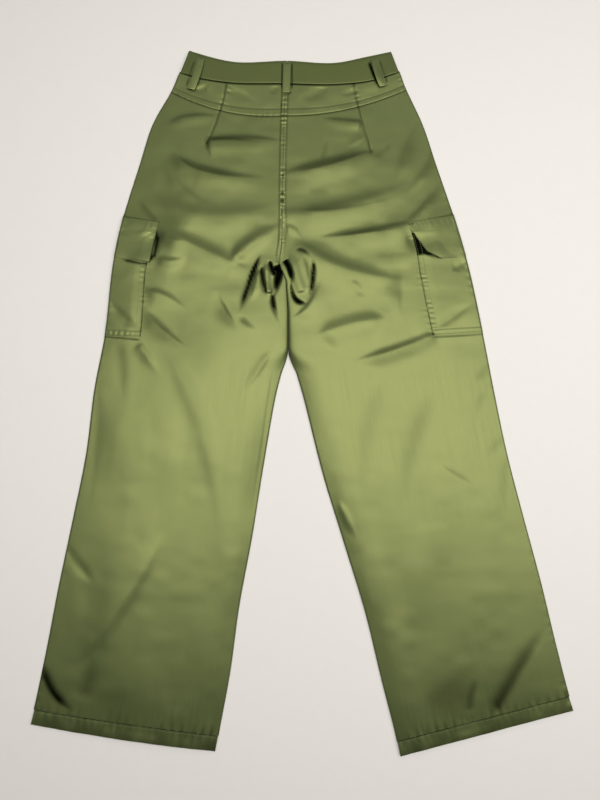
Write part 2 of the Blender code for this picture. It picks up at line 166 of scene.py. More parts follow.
def pucker(distance: Array, along: Array, reach: float, pitch: float, height: float, seed: int) -> Array:
    """Gathers beside a seam: a wave along it, uneven in pitch and height, that dies away to both sides.

    Args:
        distance: distance from the seam.
        along: distance along the seam.
        reach: how far the gathers reach.
        pitch: mean spacing of the gathers.
        height: their usual height.
        seed: picks the unevenness.
    Returns:
        Height to add.
    """
    wander = soft_noise(along, along * 0, pitch * 2.3, seed)
    strength = 0.60 + 0.8 * soft_noise(along, along * 0 + 1.0, pitch * 2.9, seed + 1)
    wave = np.sin(2 * np.pi * (along / pitch + 0.55 * wander))
    return height * strength * wave * bell(distance, reach)


# ---- The cut of the garment ----

class Side(Enum):
    """Half of the garment, with the sign of X on that side."""

    LEFT = -1
    RIGHT = 1

    @property
    def label(self) -> str:
        """Lower-case name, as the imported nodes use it."""
        return self.name.lower()


@dataclass(frozen=True)
class Level:
    """One line across a leg: how loosely the back lies there, its two ends and its bow to the waist."""

    name: str
    down: float
    puff: float
    inner_drop: float
    outer_x: float
    outer_y: float
    inner_x: float
    inner_y: float
    bow: float


# Name, distance down, looseness of the back and how far its inner edge comes down; then, for the left half
# and for the right one, the outseam end, the inner end and the bow of the line
LEVEL_ROWS = (
    ("waist", 0, 0.0035, 0, (-0.197, 0.505, -0.027, 0.487, 0), (0.157, 0.506, -0.0266, 0.487, 0)),
    ("yoke", 0.045, 0.0055, 0,
     (-0.211, 0.471, -0.029, 0.431, -0.014), (0.168, 0.475, -0.0286, 0.431, -0.012)),
    ("dart", 0.105, 0.0075, 0,
     (-0.238, 0.418, -0.0305, 0.372, -0.01), (0.192, 0.418, -0.0301, 0.372, -0.008)),
    ("hip", 0.18, 0.009, 0, (-0.258, 0.348, -0.0315, 0.3, -0.005), (0.213, 0.348, -0.0311, 0.3, -0.004)),
    ("flap_top", 0.26, 0.0095, 0, (-0.281, 0.262, -0.032, 0.228, 0), (0.238, 0.265, -0.0316, 0.222, 0)),
    ("flap_low", 0.325, 0.01, 0.2, (-0.293, 0.199, -0.037, 0.182, 0), (0.255, 0.2, -0.036, 0.18, 0)),
    ("pocket_low", 0.45, 0.009, 1, (-0.304, 0.073, -0.022, 0.062, 0), (0.278, 0.078, -0.021, 0.06, 0)),
    ("thigh", 0.54, 0.008, 1, (-0.317, -0.01, -0.041, -0.025, 0), (0.292, -0.01, 0.003, -0.028, 0)),
    ("above_knee", 0.64, 0.0075, 1, (-0.326, -0.108, -0.0587, -0.13, 0), (0.309, -0.108, 0.03, -0.136, 0)),
    ("knee", 0.74, 0.007, 1, (-0.342, -0.205, -0.0745, -0.232, 0), (0.33, -0.202, 0.061, -0.238, 0)),
    ("calf", 0.84, 0.0065, 1, (-0.359, -0.302, -0.0925, -0.332, 0), (0.352, -0.296, 0.092, -0.34, 0)),
    ("shin", 0.94, 0.006, 1, (-0.374, -0.398, -0.1055, -0.43, 0), (0.371, -0.388, 0.1155, -0.438, 0)),
    ("hem_seam", 1.02, 0.0045, 1,
     (-0.388, -0.477, -0.1205, -0.513, -0.002), (0.387, -0.459, 0.136, -0.521, 0)),
    ("hem_edge", 1.04, 0.004, 1, (-0.392, -0.497, -0.124, -0.534, -0.003), (0.392, -0.478, 0.14, -0.541, 0)),
)


def levels(side: Side) -> tuple[Level, ...]:
    """Every level of one half."""
    ends = 4 if side is Side.LEFT else 5
    return tuple(Level(*row[:4], *row[ends]) for row in LEVEL_ROWS)


# Where the two halves meet, from the space between the legs up to the waist: (y, x)
MEETING_LINE = ((-0.600, -0.0215), (0.110, -0.0215), (0.160, -0.0250), (0.190, -0.0365),
                (0.237, -0.0318), (0.431, -0.0288), (0.487, -0.0268))

# The waistband's edges from its left corner to its right one: (lower x, lower y, upper x, upper y)
BAND_LINE = np.array((
    (-0.197, 0.505, -0.184, 0.541),
    (-0.166, 0.4955, -0.153, 0.531),
    (-0.125, 0.4885, -0.116, 0.522),
    (-0.027, 0.486, -0.024, 0.523),
    (0.062, 0.485, 0.058, 0.520),
    (0.112, 0.491, 0.105, 0.530),
    (0.157, 0.506, 0.145, 0.539),
))

SEAM_GAP = 0.0003
BAND_RISE = 0.0035

# How far the grooves of the topstitching lie from their seams
CENTRE_STITCH = 0.0052
YOKE_STITCH = 0.0100
POCKET_STITCH = 0.0082

# The pocket's width runs straight between these two places along the leg
POCKET_SPAN = (0.26, 0.45)


def band_plan(share: Array, high: Array) -> Array:
    """Plan points of the waistband: a smooth curve through its corners, from its lower to its upper edge.

    Args:
        share: 0 at the left corner to 1 at the right corner.
        high: 0 on the lower edge to 1 on the upper edge.
    Returns:
        Points (x, y), in the shape of `share` with a last axis of two.
    """
    knots = (BAND_LINE[:, 0] - BAND_LINE[0, 0]) / (BAND_LINE[-1, 0] - BAND_LINE[0, 0])
    edges = [smooth_curve(knots, BAND_LINE[:, axis], share) for axis in range(4)]
    x = edges[0] * (1 - high) + edges[2] * high
    y = edges[1] * (1 - high) + edges[3] * high
    return np.stack([x, y], axis=-1)


def draw_in(points: Array) -> Array:
    """Shift raised cloth towards the middle of the garment, by a share of its height that grows outwards.

    Args:
        points: (..., 3) points.
    Returns:
        The shifted points.
    """
    least = 0.0015
    plan = points[..., :2] - (points[..., :2] - np.array(EYE)) * (points[..., 2:] - least) / EYE_HEIGHT
    return np.concatenate([plan, points[..., 2:]], axis=-1)


def waist_rise(x: Array) -> Array:
    """How far the back of the waist stands off the front: a plateau with a soft slope at each corner."""
    left, right, slope = BAND_LINE[0, 0], BAND_LINE[-1, 0], 0.05
    return BAND_RISE * smooth_step(left, left + slope, x) * smooth_step(-right, slope - right, -x)


# ---- Creases ----

@dataclass(frozen=True)
class Crease:
    """One fold: a crest or trough along a bent line, with its own slope on each side.

    `left` and `right` are the widths of its slopes to the left and right of its way from start to end,
    `fade_start` and `fade_end` the shares of its length over which it fades in and out, and `lean` how
    far its sides are pushed over, so that a crest overhangs and a trough closes. `shade` is how strongly
    shade is painted into the cloth's colour along the fold. Its height varies by the share `unevenness`
    every `wander` metres.
    """

    name: str
    start: tuple[float, float]
    middle: tuple[float, float]
    end: tuple[float, float]
    height: float
    left: float
    right: float
    fade_start: float = 0.35
    fade_end: float = 0.35
    lean: float = 0.0
    shade: float = 0.0
    pieces: int = 20
    reach: float = 3.0
    unevenness: float = 0.22
    wander: float = 0.028

    def path(self) -> Array:
        """Points of the quadratic curve that passes through start, middle and end."""
        start, middle, end = (np.array(point) for point in (self.start, self.middle, self.end))
        pull = 2 * middle - (start + end) / 2
        t = np.linspace(0, 1, self.pieces + 1)[:, None]
        return (1 - t) ** 2 * start + 2 * t * (1 - t) * pull + t**2 * end

    def relief(self, x: Array, y: Array, seed: int) -> Array:
        """Height, sideways push and shade: a bell exp(-(d/w)^2) of the distance d from the nearest point.

        Args:
            x: plan coordinate.
            y: plan coordinate, of the same shape.
            seed: picks the unevenness along the fold.
        Returns:
            (..., 4) array of height, push in x, push in y and painted shade.
        """
        path = self.path()
        reach = self.reach * max(self.left, self.right)
        close = (x > path[:, 0].min() - reach) & (x < path[:, 0].max() + reach) & \
            (y > path[:, 1].min() - reach) & (y < path[:, 1].max() + reach)
        found = np.zeros(x.shape + (4,))
        near_x, near_y = x[close], y[close]
        nearest = np.full(near_x.shape, 1e9)
        side, share = np.zeros_like(near_x), np.zeros_like(near_x)
        away = np.zeros(near_x.shape + (2,))
        for index, run in enumerate(np.diff(path, axis=0)):
            to_x, to_y = near_x - path[index, 0], near_y - path[index, 1]
            t = np.clip((to_x * run[0] + to_y * run[1]) / (run @ run), 0, 1)
            gap = np.stack([to_x - t * run[0], to_y - t * run[1]], axis=-1)
            distance = np.hypot(gap[..., 0], gap[..., 1])
            closer = distance < nearest
            nearest = np.where(closer, distance, nearest)
            side = np.where(closer, np.sign(run[0] * to_y - run[1] * to_x), side)
            share = np.where(closer, (index + t) / self.pieces, share)
            away = np.where(closer[..., None], gap, away)
        least = 1e-3
        ends = smooth_step(0, max(self.fade_start, least), share + least) * \
            smooth_step(0, max(self.fade_end, least), 1 - share + least)
        width = np.where(side > 0, self.left, self.right) * (0.4 + 0.6 * ends)
        span = np.hypot(self.end[0] - self.start[0], self.end[1] - self.start[1])
        uneven = 1 + self.unevenness * soft_noise(share * span, share * 0, self.wander, seed)
        profile = ends * bell(nearest, width)
        height = self.height * uneven * profile
        push = away * (self.lean * 2 / width**2 * height)[..., None]
        found[close] = np.stack([height, push[..., 0], push[..., 1], self.shade * profile], axis=-1)
        return found


def fold(name: str, start: tuple[float, float], middle: tuple[float, float], end: tuple[float, float],
         height: float, left: float, right: float, fade_start: float = 0.35, fade_end: float = 0.35,
         shade: float = 0.0, lean: float = 0.0) -> Crease:
    """A crease whose line, height, widths and lean are given in millimetres.

    Args:
        name: what it is called.
        start: where it starts, as (x, y).
        middle: a point half way.
        end: where it ends.
        height: of its crest, or below zero the depth of its trough.
        left: width of its left slope.
        right: width of its right slope.
        fade_start: share of its length over which it fades in.
        fade_end: share of its length over which it fades out.
        shade: how strongly shade is painted into the cloth along it.
        lean: how far its sides are pushed over.
    Returns:
        The crease, in metres.
    """
    line = [(x * MILLIMETRE, y * MILLIMETRE) for x, y in (start, middle, end)]
    sizes = [size * MILLIMETRE for size in (height, left, right)]
    return Crease(name, *line, *sizes, fade_start, fade_end, lean * MILLIMETRE, shade)


def total_relief(creases: tuple[Crease, ...], plan: Array, seed: int) -> Array:
    """Sum of the creases' reliefs, each with the next seed: height, push in x and y, and painted shade."""
    total = np.zeros(plan.shape[:-1] + (4,))
    for index, crease in enumerate(creases):
        total += crease.relief(plan[..., 0], plan[..., 1], seed + index)
    return total


# In the crease tables the value after the two fades is painted shade, darkening the cloth's colour along the
# crease; creases of height 0 are painted shade alone
LEFT_CREASES = (
    # Seat
    fold("below_yoke", (-216, 414), (-183, 428), (-125, 429), 2.6, 4, 16, 0.4, 0.4, 0.1),
    fold("dart_tip", (-158, 385), (-99, 391), (-16, 385), 3.4, 6, 24, 0.12, 0.45, 0.18),
    fold("seat_high", (-211, 370), (-149, 337), (-48, 325), 4.2, 7, 26, 0.35, 0.4, 0.16),
    fold("seat_middle", (-241, 307), (-150, 264), (-29, 286), 5, 16, 28, 0.4, 0.4, 0.08),
    fold("seat_high_core", (-153, 389), (-112, 391), (-42, 384), 0, 3.5, 1.8, 0.2, 0.5, 0.27),
    fold("seat_middle_core", (-198, 365), (-154, 338), (-64, 327), 0, 3.5, 1.8, 0.25, 0.35, 0.27),
    fold("seat_low", (-236, 248), (-168, 215), (-81, 174), 4.8, 11, 24, 0.4, 0.3, 0.12),
    fold("outseam_roll", (-217, 357), (-190, 307), (-139, 281), 1.6, 6, 14, 0.45, 0.45),
    fold("above_flap", (-263, 297), (-245, 273), (-227, 253), -0.6, 4, 6, 0.45, 0.15, 0.2),
    # Crotch
    fold("arch", (-116, 180), (-82, 219), (-27, 251), 4.6, 10, 13, 0.35, 0.35, 0.12),
    fold("lens", (-59.7, 205.8), (-76.6, 168.8), (-97.8, 106.7), -1, 4.5, 6, 0.5, 0.2, 0.8),
    fold("lens_core", (-62.8, 205.8), (-75.1, 180), (-87.3, 151.2), 0, 2.4, 2.4, 0.4, 0.5, 1),
    fold("between", (-67, 180), (-70, 154), (-81, 123), 2.8, 4, 4, 0.3, 0.4),
    fold("slim", (-64.2, 186.4), (-60.9, 160.8), (-54.6, 136.8), -8, 2.5, 2.2, 0.3, 0.25, 1.3, lean=0.8),
    fold("finger", (-56, 191.3), (-54.7, 164), (-51.8, 143.2), 3.4, 2.8, 2.8, 0.3, 0, lean=1),
    fold("nick", (-50.2, 192.9), (-47.8, 180), (-41.5, 167.2), -7, 2, 2, 0.3, 0.1, 1.2),
    fold("hollow", (-28.3, 186.4), (-36.8, 167.2), (-42.1, 132), -10, 4.4, 3.8, 0.02, 0.45, 1.3),
    fold("hollow_roof", (-45.4, 176.8), (-36.1, 179.2), (-25.2, 183.2), -8, 3.4, 3, 0.2, 0.02, 1.2),
    fold("prong", (-40.7, 151.2), (-45.2, 125.7), (-32.7, 87.8), -5, 2.6, 3, 0.5, 0.5, 0.8),
    fold("lower_outer", (-134, 145), (-121, 113), (-96, 78), -2.2, 4.5, 14, 0.5, 0.45, 0.24),
    fold("lower_inner", (-99.3, 105.1), (-86.8, 94.8), (-68.2, 81.5), -1.2, 3.4, 5, 0.4, 0.5, 0.35),
    # Leg
    fold("pocket_fold", (-245, 116), (-215, 81), (-171, 50), 2.8, 5, 16, 0.36, 0.5, 0.24),
    fold("pocket_fold_high", (-246, 142), (-213, 135), (-174, 108), 2.4, 5, 16, 0.35, 0.5, 0.06),
    fold("flap_seam", (-283.8, 264), (-253.7, 257.8), (-226, 252.2), 0, 1.1, 1.1, 0.02, 0.05, 0.6),
    fold("flap_mouth", (-229.7, 243.1), (-228.4, 214.7), (-237.7, 188.8), -0.6, 2.4, 2, 0.3, 0.2, 1.4),
    fold("beside_flap", (-223, 237), (-204, 225), (-185, 225), 1.6, 5, 10, 0.2, 0.5, 0.1),
    fold("below_flap", (-225, 198), (-206, 190), (-179, 199), 2.2, 5, 12, 0.25, 0.5, 0.1),
    fold("pocket_foot", (-306.3, 70.5), (-277.7, 68.1), (-249.1, 65.3), -0.8, 0.9, 0.9, 0.02, 0.02, 0.6),
    fold("outer_trough", (-313, 7), (-311, -88), (-323, -219), -0.8, 9, 8, 0.4, 0.5, 0.14),
    fold("thigh_fold", (-222, 66), (-150, -73), (-124, -244), 2.4, 14, 15, 0.35, 0.5, 0.1),
    fold("pocket_line", (-253, 61), (-237, 41), (-213, 4), 1.6, 4, 10, 0.2, 0.5, 0.12),
    fold("pocket_drop", (-284, 63), (-278, 19), (-272, -33), -0.7, 9, 9, 0.2, 0.5, 0.12),
    fold("inseam_line", (-44.8, 31.5), (-60.9, -88.1), (-80.8, -222.1), -0.3, 1.8, 1.8, 0.2, 0.4, 0.22),
    fold("inseam_slant", (-48, 50), (-68, 16), (-95, -21), 1.6, 4, 8, 0.3, 0.5, 0.1),
    # Broad painted shade over the thigh and the inner leg, with no relief
    fold("thigh_painted_shade", (-236, 132), (-184, 74), (-138, -4), 0, 45, 45, 0.5, 0.5, 0.2),
    fold("inner_painted_shade", (-58, -20), (-73, -118), (-88, -244), 0, 17, 17, 0.4, 0.5, 0.13),
    fold("long_ridge", (-248, -15), (-247, -133), (-273, -266), 1, 20, 20, 0.45, 0.45),
    fold("shin_fold", (-205, -225), (-268, -330), (-338, -420), 3.4, 12, 34),
    fold("hem_fold", (-381, -402), (-363, -450), (-327, -481), -1, 7, 6, 0.3, 0.35, 0.62),
    fold("hem_rise", (-325, -470), (-311, -436), (-304, -394), -0.8, 12, 12, 0.3, 0.5, 0.22),
    fold("side_nick", (-352, -245), (-334, -270), (-306, -300), -1.6, 6, 8, 0.1, 0.35),
)
RIGHT_CREASES = (
    # Seat
    fold("below_yoke", (32, 426), (66, 421), (96, 419), 2.2, 4, 12, 0.4, 0.1, 0.08),
    fold("yoke_slant", (102, 401), (86, 387), (70, 379), 0.8, 4, 8, 0.35, 0.4, 0.1),
    fold("seat_upright", (40, 401), (35, 374), (30, 354), -0.8, 4, 4, 0.35, 0.35, 0.1),
    fold("dart_side", (147, 389), (132, 375), (113, 360), -0.8, 6, 6, 0.5, 0.2, 0.16),
    fold("seat_high", (-45, 329), (44, 350), (131, 374), 4.4, 8, 26, 0.35, 0.3, 0.16),
    fold("seat_middle", (-54, 271), (60, 276), (181, 324), 5.2, 12, 28, 0.35, 0.4, 0.1),
    fold("seat_rise", (146, 307), (162, 360), (183, 421), 2, 7, 14, 0.45, 0.45, 0.16),
    fold("hip_edge", (155, 297), (194, 337), (211, 397), 1.8, 5, 12, 0.45, 0.45, 0.16),
    fold("seat_middle_core", (-19, 336), (52, 352), (112, 375), 0, 3.5, 1.8, 0.25, 0.4, 0.27),
    fold("seat_rise_core", (-22, 276), (68, 277), (171, 302), 0, 4, 2, 0.3, 0.4, 0.25),
    fold("seat_low_core", (41, 229), (99, 237), (167, 246), 0, 3, 1.6, 0.3, 0.3, 0.25),
    fold("seat_low", (25, 228), (102, 237), (186, 255), 4.2, 6, 22, 0.35, 0.3, 0.16),
    fold("flap_slant", (154, 248), (192, 277), (225, 327), 3.2, 5, 12, 0.35, 0.4, 0.18),
    # Crotch
    fold("arch", (-13, 228), (56, 182), (168, 158), 5.6, 12, 26, 0.3, 0.4, 0.06),
    fold("arch_top", (-28, 243), (-13, 241), (5, 215), 1.6, 4, 10, 0.25, 0.6),
    fold("tongue", (-20.5, 212.3), (-9.5, 173.6), (1.4, 138.4), 2.4, 6, 8, 0.4, 0.1, lean=0.5),
    fold("tongue_trough", (14.7, 200.9), (17, 167.2), (10.7, 132), -4, 2.2, 2.6, 0.4, 0.3, 1.1),
    fold("tongue_slope", (-1.7, 202.6), (8.4, 176.8), (10.7, 144.8), 0, 4, 3.2, 0.4, 0.4, 0.45),
    fold("trough_head", (-12.7, 209), (3, 207.4), (17, 192.9), -0.5, 3.2, 4, 0.3, 0.5, 0.55),
    fold("under_tongue", (-18.9, 170.4), (-12.6, 133.6), (7.5, 124.1), -6.5, 2.2, 2.8, 0.7, 0.3, 1.1),
    fold("hollow", (-27.5, 191.3), (-19.7, 176.8), (-15.8, 154.4), -8, 3, 2.6, 0.02, 0.4, 1.3),
    fold("round_rim", (-15.7, 100.4), (13.8, 124.1), (32.6, 173.6), 2.6, 3.4, 16, 0.35, 0.5),
    fold("thigh_low", (21, 69), (69, 88), (130, 99), 4, 11, 24, 0.3, 0.2),
    fold("thigh_line", (75, 162), (86, 148), (98, 132), -1, 5, 6),
    # Leg
    fold("pocket_trough", (154, 180), (147, 137), (154, 94), 2.2, 6, 14, 0.5, 0.5, 0.18),
    fold("below_pocket", (77, 31), (144, 50), (207, 75), 3.2, 6, 16, 0.35, 0.1, 0.16),
    fold("flap_seam", (168.2, 249), (204.5, 257.8), (242.6, 267.9), 0, 1.1, 1.1, 0.02, 0.05, 0.7),
    fold("pocket_foot", (203.3, 70.5), (240.4, 72.4), (280.6, 75.2), -0.8, 0.9, 0.9, 0.02, 0.02, 0.6),
    fold("leg_band_inner", (138, 22), (100, -73), (92, -207), -1, 13, 13, 0.4, 0.5, 0.12),
    fold("leg_band", (211, -3), (169, -96), (149, -215), -1.3, 12, 15, 0.35, 0.5, 0.16),
    fold("side_nick", (291, 31), (277, 16), (263, -1), -1.2, 5, 6, 0.2, 0.5, 0.16),
    fold("side_nick_low", (287, -9), (274, -27), (266, -55), -1, 5, 7, 0.4, 0.5, 0.12),
    fold("side_slant", (309, -85), (295, -99), (274, -121), -1, 4, 7, 0.2, 0.5, 0.1),
    fold("side_line", (313, -106), (305, -148), (304, -222), -0.8, 5, 7, 0.4, 0.5, 0.12),
    fold("inner_nick", (54, -178), (68, -207), (83, -237), 1.6, 5, 8, 0.3, 0.5, 0.1),
    fold("knee_slant", (207.9, -122.8), (233, -140.7), (270, -160.1), -0.6, 1.8, 2.4, 0.35, 0.45, 0.22),
    fold("shin_trough", (361, -355), (316, -420), (274, -486), -1, 8, 11, 0.45, 0.12, 0.42),
    fold("shin_hollow", (164, -486), (214, -450), (265, -409), -0.4, 18, 24, 0.4, 0.5, 0.2),
    fold("shin_edge", (256, -431), (246, -456), (241, -486), -0.6, 5, 6, 0.4, 0.2, 0.22),
)
YOKE_CREASES = {
    Side.LEFT: (
        fold("dent", (-132, 466), (-104, 466), (-72, 448), -0.9, 6, 9),
        fold("loop_dent", (-176, 474), (-162, 473), (-150, 482), -1.2, 4, 6),
        fold("inner_dent", (-52, 462), (-44, 472), (-40, 480), -1.2, 6, 6),
    ),
    Side.RIGHT: (
        fold("dent", (46, 478), (22, 464), (-4, 455), -1.2, 8, 9),
        fold("dart_dent", (92, 470), (78, 466), (60, 462), -1, 5, 6),
    ),
}

# Creases of the pockets; here too the value after the two fades is painted shade
POCKET_FOLDS = {
    Side.LEFT: (
        fold("under_flap", (-286.4, 195.3), (-264.3, 189.6), (-240.8, 186.4), -0.6, 1.4, 2.6, 0.35, 0.05, 1),
        fold("slump", (-300, 132), (-279, 102), (-252, 86), -1.6, 8, 8, 0.4, 0.4, 0.12),
    ),
    Side.RIGHT: (
        fold("slump", (204, 81), (232, 102), (267, 124), -1.5, 9, 7, 0.4, 0.5, 0.1),
        fold("under_flap", (258, 190), (245, 183), (232, 174), -1.4, 6, 6),
        fold("flap_edge", (190.8, 203.4), (206.3, 198.5), (223.4, 194.5), -0.6, 1.6, 2.4, 0.15, 0.4, 0.8),
    ),
}

# Painted shadow: cloth darkened beside and below each belt loop
LOOP_SHADOWS = (
    fold("left_outer", (-173.6, 527.2), (-181.2, 501.2), (-186.4, 478.9), 0, 0.9, 0.9, 0.12, 0.12, 0.7),
    fold("left_inner", (-159, 528.9), (-165.9, 503), (-171.1, 480.6), 0, 1.7, 1.7, 0.12, 0.12, 1.1),
    fold("left_foot", (-187.2, 476.3), (-179.1, 475.5), (-170.2, 477.2), 0, 1, 1, 0.12, 0.12, 0.8),
    fold("centre_left", (-32, 523.7), (-32.4, 497.8), (-32.3, 473.7), 0, 1.1, 1.1, 0.12, 0.12, 1),
    fold("centre_right", (-16.3, 523.7), (-16.2, 497.8), (-16.2, 473.7), 0, 1.1, 1.1, 0.12, 0.12, 1),
    fold("centre_foot", (-33.1, 470.3), (-24.3, 469.8), (-15.4, 470.3), 0, 1, 1, 0.12, 0.12, 0.9),
    fold("right_inner", (107.7, 523.7), (114.8, 503), (124.2, 482.3), 0, 2.3, 2.3, 0.12, 0.12, 1.2),
    fold("right_outer", (124.8, 527.2), (131.8, 506.4), (137.9, 485.8), 0, 0.9, 0.9, 0.12, 0.12, 0.7),
    fold("right_foot", (122.5, 480.6), (130.6, 480.6), (138.7, 484), 0, 1, 1, 0.12, 0.12, 0.8),
)


def loop_shadow(plan: Array) -> Array:
    """Painted shadow on the band and the yoke around the belt loops."""
    total = np.zeros(plan.shape[:-1])
    for shadow in LOOP_SHADOWS:
        total += shadow.relief(plan[..., 0], plan[..., 1], 0)[..., 3]
    return np.clip(total, 0, 1)


@dataclass(frozen=True)
class Dart:
    """Stitched fold that runs from the waist seam to its tip: top, joint at the yoke seam, tip."""

    top: tuple[float, float]
    joint: tuple[float, float]
    tip: tuple[float, float]
    depth: float = 0.0013
    width: float = 0.0016

    def line(self, width: float, plan: Array) -> Array:
        """Bell of a given width along the dart, uneven along its length, with its tip drawn stronger; it
        places painted shade along the dart.
        """
        seam = Crease("dart", self.top, self.joint, self.tip, 1.0, width, width, 0.02, 0.02)
        tip = np.exp(-(((plan[..., 0] - self.tip[0]) ** 2 + (plan[..., 1] - self.tip[1]) ** 2) / 0.0022**2))
        return seam.relief(plan[..., 0], plan[..., 1], 7)[..., 0] + tip

    def relief(self, x: Array, y: Array) -> Array:
        """A narrow trough with gathers on both sides, deeper where the dart ends."""
        line = Crease("dart", self.top, self.joint, self.tip, -self.depth, self.width, self.width, 0.02, 0.03)
        depth = line.relief(x, y, 7)[..., 0]
        run = np.array(self.tip) - np.array(self.joint)
        length = np.hypot(*run)
        along = ((x - self.joint[0]) * run[0] + (y - self.joint[1]) * run[1]) / length
        aside = ((x - self.joint[0]) * -run[1] + (y - self.joint[1]) * run[0]) / length
        inside = smooth_step(-0.052, -0.045, along) * smooth_step(-0.062, -0.050, -along)
        gathers = pucker(aside, along, 0.006, 0.0085, 0.00042, 11) * inside
        tip = np.exp(-(((x - self.tip[0]) ** 2 + (y - self.tip[1]) ** 2) / 0.005**2)) * -0.0012
        return depth + gathers + tip


@dataclass
class LegPattern:
    """Cut and lie of one half: where each point of its cloth is, seen from above, and how high it lies."""

    side: Side
    levels: tuple[Level, ...]
    creases: tuple[Crease, ...]
    dart: Dart
    pocket_width: tuple[float, float]
    seed: int
    lining_lift: float = 0.0012
    edge_height: float = 0.0022
    edge_radius: float = 0.0013
    inseam_radius: float = 0.0012
    floor_clearance: float = 0.0004
    outer_puff: float = 0.150
    inner_puff: float = 0.045
    least_height: float = 0.0005
    easing: float = 0.0006

    def column(self, name: str, down: Array) -> Array:
        """One column of the level table at any `down`, on the smooth curve through its rows."""
        knots = np.array([level.down for level in self.levels])
        return smooth_curve(knots, np.array([getattr(level, name) for level in self.levels]), down)

    def down_of(self, name: str) -> float:
        """The `down` value of a named level."""
        return next(level.down for level in self.levels if level.name == name)

    def plan(self, down: Array, across: Array) -> Array:
        """Plan points: straight from the outseam curve to the inner curve, with the line's bow.

        Args:
            down: distance along the leg.
            across: share of the way from the outseam, in a shape that broadcasts with `down`.
        Returns:
            Points (x, y) on a last axis of two.
        """
        down, across = spread(down, across)
        x = self.column("outer_x", down) * (1 - across) + self.column("inner_x", down) * across
        y = self.column("outer_y", down) * (1 - across) + self.column("inner_y", down) * across
        y = y + self.column("bow", down) * 4 * across * (1 - across)
        first = self.levels[0]
        top_x = first.outer_x * (1 - across) + first.inner_x * across
        top_y = first.outer_y * (1 - across) + first.inner_y * across
        samples = band_plan(np.linspace(0, 1, BAND_SAMPLES), np.zeros(BAND_SAMPLES))
        seam_y = np.interp(top_x, samples[:, 0], samples[:, 1]) - SEAM_GAP
        knots = np.array([level.down for level in self.levels])
        share = smooth_curve(knots, np.eye(len(knots))[0], down)
        y = y + (seam_y - top_y) * share
        meeting = np.interp(y, [point[0] for point in MEETING_LINE], [point[1] for point in MEETING_LINE])
        limit = meeting + self.side.value * SEAM_GAP / 2
        crotch, apart = self.down_of("flap_low"), self.down_of("pocket_low")
        touching = smooth_step(crotch - 0.025, crotch, down)
        touching = touching * smooth_step(-apart - 0.05, -apart - 0.005, -down)
        x = x + (limit - x) * touching * smooth_step(0.75, 1.0, across)
        x = np.where(x * self.side.value < limit * self.side.value, limit, x)
        return np.stack([x, y], axis=-1)

    def width(self, down: Array) -> Array:
        """Distance from the outseam to the inner edge."""
        ends = self.plan(down, 0.0), self.plan(down, 1.0)
        return np.hypot(ends[0][..., 0] - ends[1][..., 0], ends[0][..., 1] - ends[1][..., 1])

    def outward(self, down: Array) -> Array:
        """Unit vectors in the plan that point out of the outseam."""
        return unit(self.plan(down, 0.0) - self.plan(down, 0.03))

    def under_lift(self, down: Array, distance: Array) -> Array:
        """How far the front is held off the surface by the pocket and flap that lie under it."""
        top, middle, low = (self.down_of(name) for name in ("flap_top", "flap_low", "pocket_low"))
        reach = smooth_step(-0.115, -0.085, -distance)
        pocket = smooth_step(top - 0.02, top + 0.01, down) * smooth_step(-low - 0.02, -low + 0.01, -down)
        flap = smooth_step(top - 0.02, top + 0.01, down) * smooth_step(-middle - 0.02, -middle + 0.01, -down)
        waist = smooth_step(-0.04, -0.01, -down)
        return self.lining_lift * (pocket + flap) * reach + 0.0022 * waist

    def front_height(self, down: Array, across: Array) -> Array:
        """Height of the front panel's upper side."""
        return self.floor_clearance + 0.0006 + self.under_lift(down, across * self.width(down))

    def back(self, down: Array, across: Array) -> Array:
        """Upper side of the back: puffed cloth with rounded edges, folds, gathers and soft unevenness.

        The height is the front's height, plus a quarter-round edge, plus the puff that grows inwards from
        the edges, plus every fold, and it is eased off where it would sink below the front.

        Args:
            down: distance along the leg.
            across: share of the way from the outseam.
        Returns:
            Points (x, y, z) on a last axis of three.
        """
        down, across = spread(down, across)
        plan = self.plan(down, across)
        x, y = plan[..., 0], plan[..., 1]
        width = self.width(down)
        outer, inner = across * width, (1 - across) * width
        drop = np.clip(self.column("inner_drop", down), 0, 1)
        puff = self.column("puff", down)
        body = puff * (1 - (1 - np.clip(outer / self.outer_puff, 0, 1)) ** 2)
        body = body * (1 - drop * (1 - np.clip(inner / self.inner_puff, 0, 1)) ** 2)
        round_out = np.sqrt(1 - (1 - np.clip(outer / self.edge_radius, 0, 1)) ** 2)
        round_in = np.sqrt(1 - (1 - np.clip(inner / self.inseam_radius, 0, 1)) ** 2)
        edge = self.edge_height * round_out * (1 - drop * (1 - round_in))
        waist = smooth_step(-0.03, 0.0, -down)
        body = body * (1 - waist) + waist_rise(x) * waist
        folds = self.fold_relief(plan, down)
        height, push_x, push_y = folds[..., 0], folds[..., 1], folds[..., 2]
        room = np.minimum((body + edge) / 0.006, 1.0)
        height = (body + height * room) + edge + self.seam_relief(down, across, x, y)
        height = height + self.unevenness(x, y, down) * room
        above = (height - self.least_height) / self.easing
        height = self.least_height + np.logaddexp(0, above) * self.easing
        z = self.front_height(down, across) + height
        return draw_in(np.stack([x + push_x * room, y + push_y * room, z], axis=-1))

    def fold_relief(self, plan: Array, down: Array) -> Array:
        """Sum of the named folds below the yoke seam: height, push in x and y, and painted shade."""
        fade = smooth_step(self.down_of("yoke"), self.down_of("yoke") + 0.01, down)
        return total_relief(self.creases, plan, self.seed) * fade[..., None]

